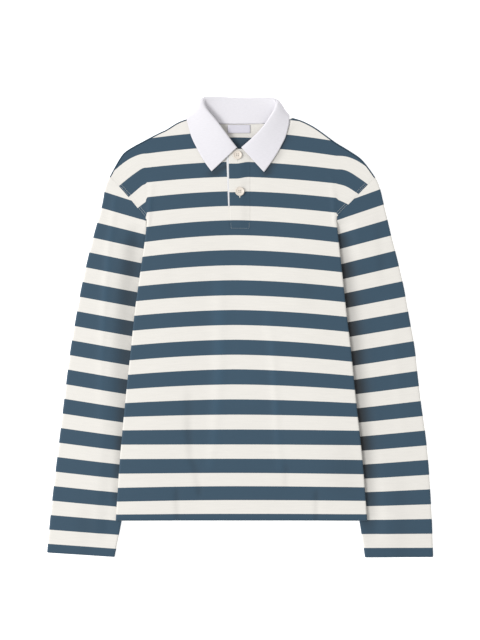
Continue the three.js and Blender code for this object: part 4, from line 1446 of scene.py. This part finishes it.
def make_buttonhole(name, x, rim, thread):
    """The lower end of an upright buttonhole: a stitched lip on each side and a longer stitch down the middle
    past their ends.
    """
    low = rim - BUTTONHOLE_END
    lip_end = low + BUTTONHOLE_BAR
    dashes = []
    for across, end in ((-BUTTONHOLE_LIP, lip_end), (0, low), (BUTTONHOLE_LIP, lip_end)):
        places = [(x + across, y) for y in (rim + BUTTONHOLE_START, end)]
        dashes.append([Vector((*place, sewn_placket(*place))) for place in places])
    make_stitches(f"{name}_buttonhole", dashes, BUTTONHOLE_THREAD, thread)


def make_holes(name, well, hole_shade):
    """Flat dark discs in a button's four holes, painted as the shade inside them."""
    points, faces = [], []
    for across in (-HOLE_PLACE, HOLE_PLACE):
        for up in (-HOLE_PLACE, HOLE_PLACE):
            faces.append(list(range(len(points), len(points) + HOLE_SIDES)))
            middle = well + Vector((across, up, HOLE_RISE))
            for cosine, sine in circle(HOLE_SIDES):
                points.append((middle + Vector((cosine, sine, 0)) * HOLE_RADIUS) * MM)
    holes = make_object(f"{name}_holes", points, faces)
    holes.data.materials.append(hole_shade)


# Stitches.

def make_stitches(name, dashes, width, thread):
    """One mesh of short spindle-shaped stitches, each from its start to its end."""
    points, faces = [], []
    for start, end in dashes:
        across = (end - start).cross(UP).normalized()
        first = len(points) + 1
        second = first + STITCH_SIDES
        points.append(start)
        for share in STITCH_FULL:
            for cosine, sine in circle(STITCH_SIDES):
                points.append(start.lerp(end, share) + (across * cosine + UP * sine) * width / 2)
        points.append(end)
        for k in range(STITCH_SIDES):
            after = (k + 1) % STITCH_SIDES
            faces.append([first - 1, first + after, first + k])
            faces.append([first + k, first + after, second + after, second + k])
            faces.append([second + k, second + after, second + STITCH_SIDES])
    made = make_object(name, [point * MM for point in points], faces)
    made.data.materials.append(thread)


def dashes_along(places, surface):
    """Stitches along a flat line of places, each laid on a surface."""
    line = Line([Vector((*place, 0)) for place in places])
    count = round(line.length / STITCH_PITCH)
    dashes = []
    for i in range(count):
        ends = [line.at((i + share) / count) for share in (0.5 - STITCH_SHARE / 2, 0.5 + STITCH_SHARE / 2)]
        dashes.append([Vector((end.x, end.y, surface(end.x, end.y))) for end in ends])
    return dashes


def armhole_line(side, inside):
    """The armhole's seam, moved into the body."""
    bodyward = armhole_frame(side)[2]
    shares = [lerp(*ARMHOLE_PART, i / ARMHOLE_STEPS) for i in range(ARMHOLE_STEPS + 1)]
    return [armhole_point(side, share) + bodyward * inside for share in shares]


def sewn_front(x, y):
    return body_height(x, y, TOP, FRONT_FOLDS) + JERSEY / 2


def sewn_back(x, y):
    return body_height(x, y, UNDERSIDE, BACK_FOLDS) - JERSEY / 2


def sewn_placket(x, y):
    thickness = placket_thickness(Vector((x, y, 0)))
    return front_top(x, y) + SEAM_GAP * thickness / PLACKET_CLOTH + thickness


def make_seam_stitches(thread):
    """Two rows along each armhole, front and back, and the box at the placket's foot."""
    for side in ("left", "right"):
        for face, surface in (("front", sewn_front), ("back", sewn_back)):
            dashes = []
            for inside in ARMHOLE_STITCHES:
                dashes += dashes_along(armhole_line(side, inside), surface)
            make_stitches(f"{face}_armhole_stitches_{side}", dashes, SEAM_THREAD, thread)
    left, right = PLACKET["bottom_left"] + BOX_INSIDE, PLACKET["right"] - BOX_INSIDE
    low = PLACKET["bottom"] + BOX_INSIDE
    box = [(left, low + BOX_HEIGHT), (left, low), (right, low), (right, low + BOX_HEIGHT)]
    make_stitches("placket_stitches", dashes_along(box, sewn_placket), BOX_THREAD, thread)


# The studio.

def make_floor():
    corners = [(x * FLOOR_REACH, y * FLOOR_REACH, 0) for x, y in ((-1, -1), (1, -1), (1, 1), (-1, 1))]
    mesh = bpy.data.meshes.new("floor")
    mesh.from_pydata(corners, [], [[0, 1, 2, 3]])
    mesh.materials.append(floor_material())
    floor = bpy.data.objects.new("floor", mesh)
    bpy.context.scene.collection.objects.link(floor)


def make_lights():
    """A large soft key light from the left and an even fill from all round."""
    key = bpy.data.objects.new("key_light", bpy.data.lights.new("key_light", "AREA"))
    key.data.energy = KEY_POWER
    key.data.size = KEY_SIZE
    key.location = KEY_PLACE
    key.rotation_euler = KEY_PLACE.to_track_quat("Z", "Y").to_euler()
    bpy.context.scene.collection.objects.link(key)
    world = bpy.data.worlds.new("studio")
    world.use_nodes = True
    background = world.node_tree.nodes["Background"]
    background.inputs["Color"].default_value = (1, 1, 1, 1)
    background.inputs["Strength"].default_value = FILL_STRENGTH
    bpy.context.scene.world = world


def make_camera():
    """A long lens straight above, so that the view covers the photograph's height."""
    camera = bpy.data.objects.new("camera", bpy.data.cameras.new("camera"))
    camera.data.lens = CAMERA_LENS
    camera.data.sensor_width = CAMERA_SENSOR
    distance = VIEW_HEIGHT * CAMERA_LENS / CAMERA_SENSOR + BODY_LOFT
    camera.location = Vector((*VIEW_CENTRE, distance)) * MM
    bpy.context.scene.collection.objects.link(camera)
    bpy.context.scene.camera = camera
    bpy.context.scene.view_settings.view_transform = "Standard"


make_camera()
make_lights()
make_floor()

jersey_cloth = jersey_material()
make_body(jersey_cloth)
make_sleeves(jersey_cloth)
make_collar(woven_material("collar_cloth", COLLAR_WHITE))
make_trims(
    jersey_cloth,
    woven_material("tape_cloth", TAPE_WHITE),
    woven_material("label_cloth", LABEL_WHITE, 2 * THREADS),
)
sewing_thread = plain_material("thread", THREAD_CREAM, THREAD_GRAIN)
make_buttons(button_material(), sewing_thread, plain_material("hole_shade", HOLE_SHADE_COLOUR, HOLE_GRAIN))
make_seam_stitches(sewing_thread)
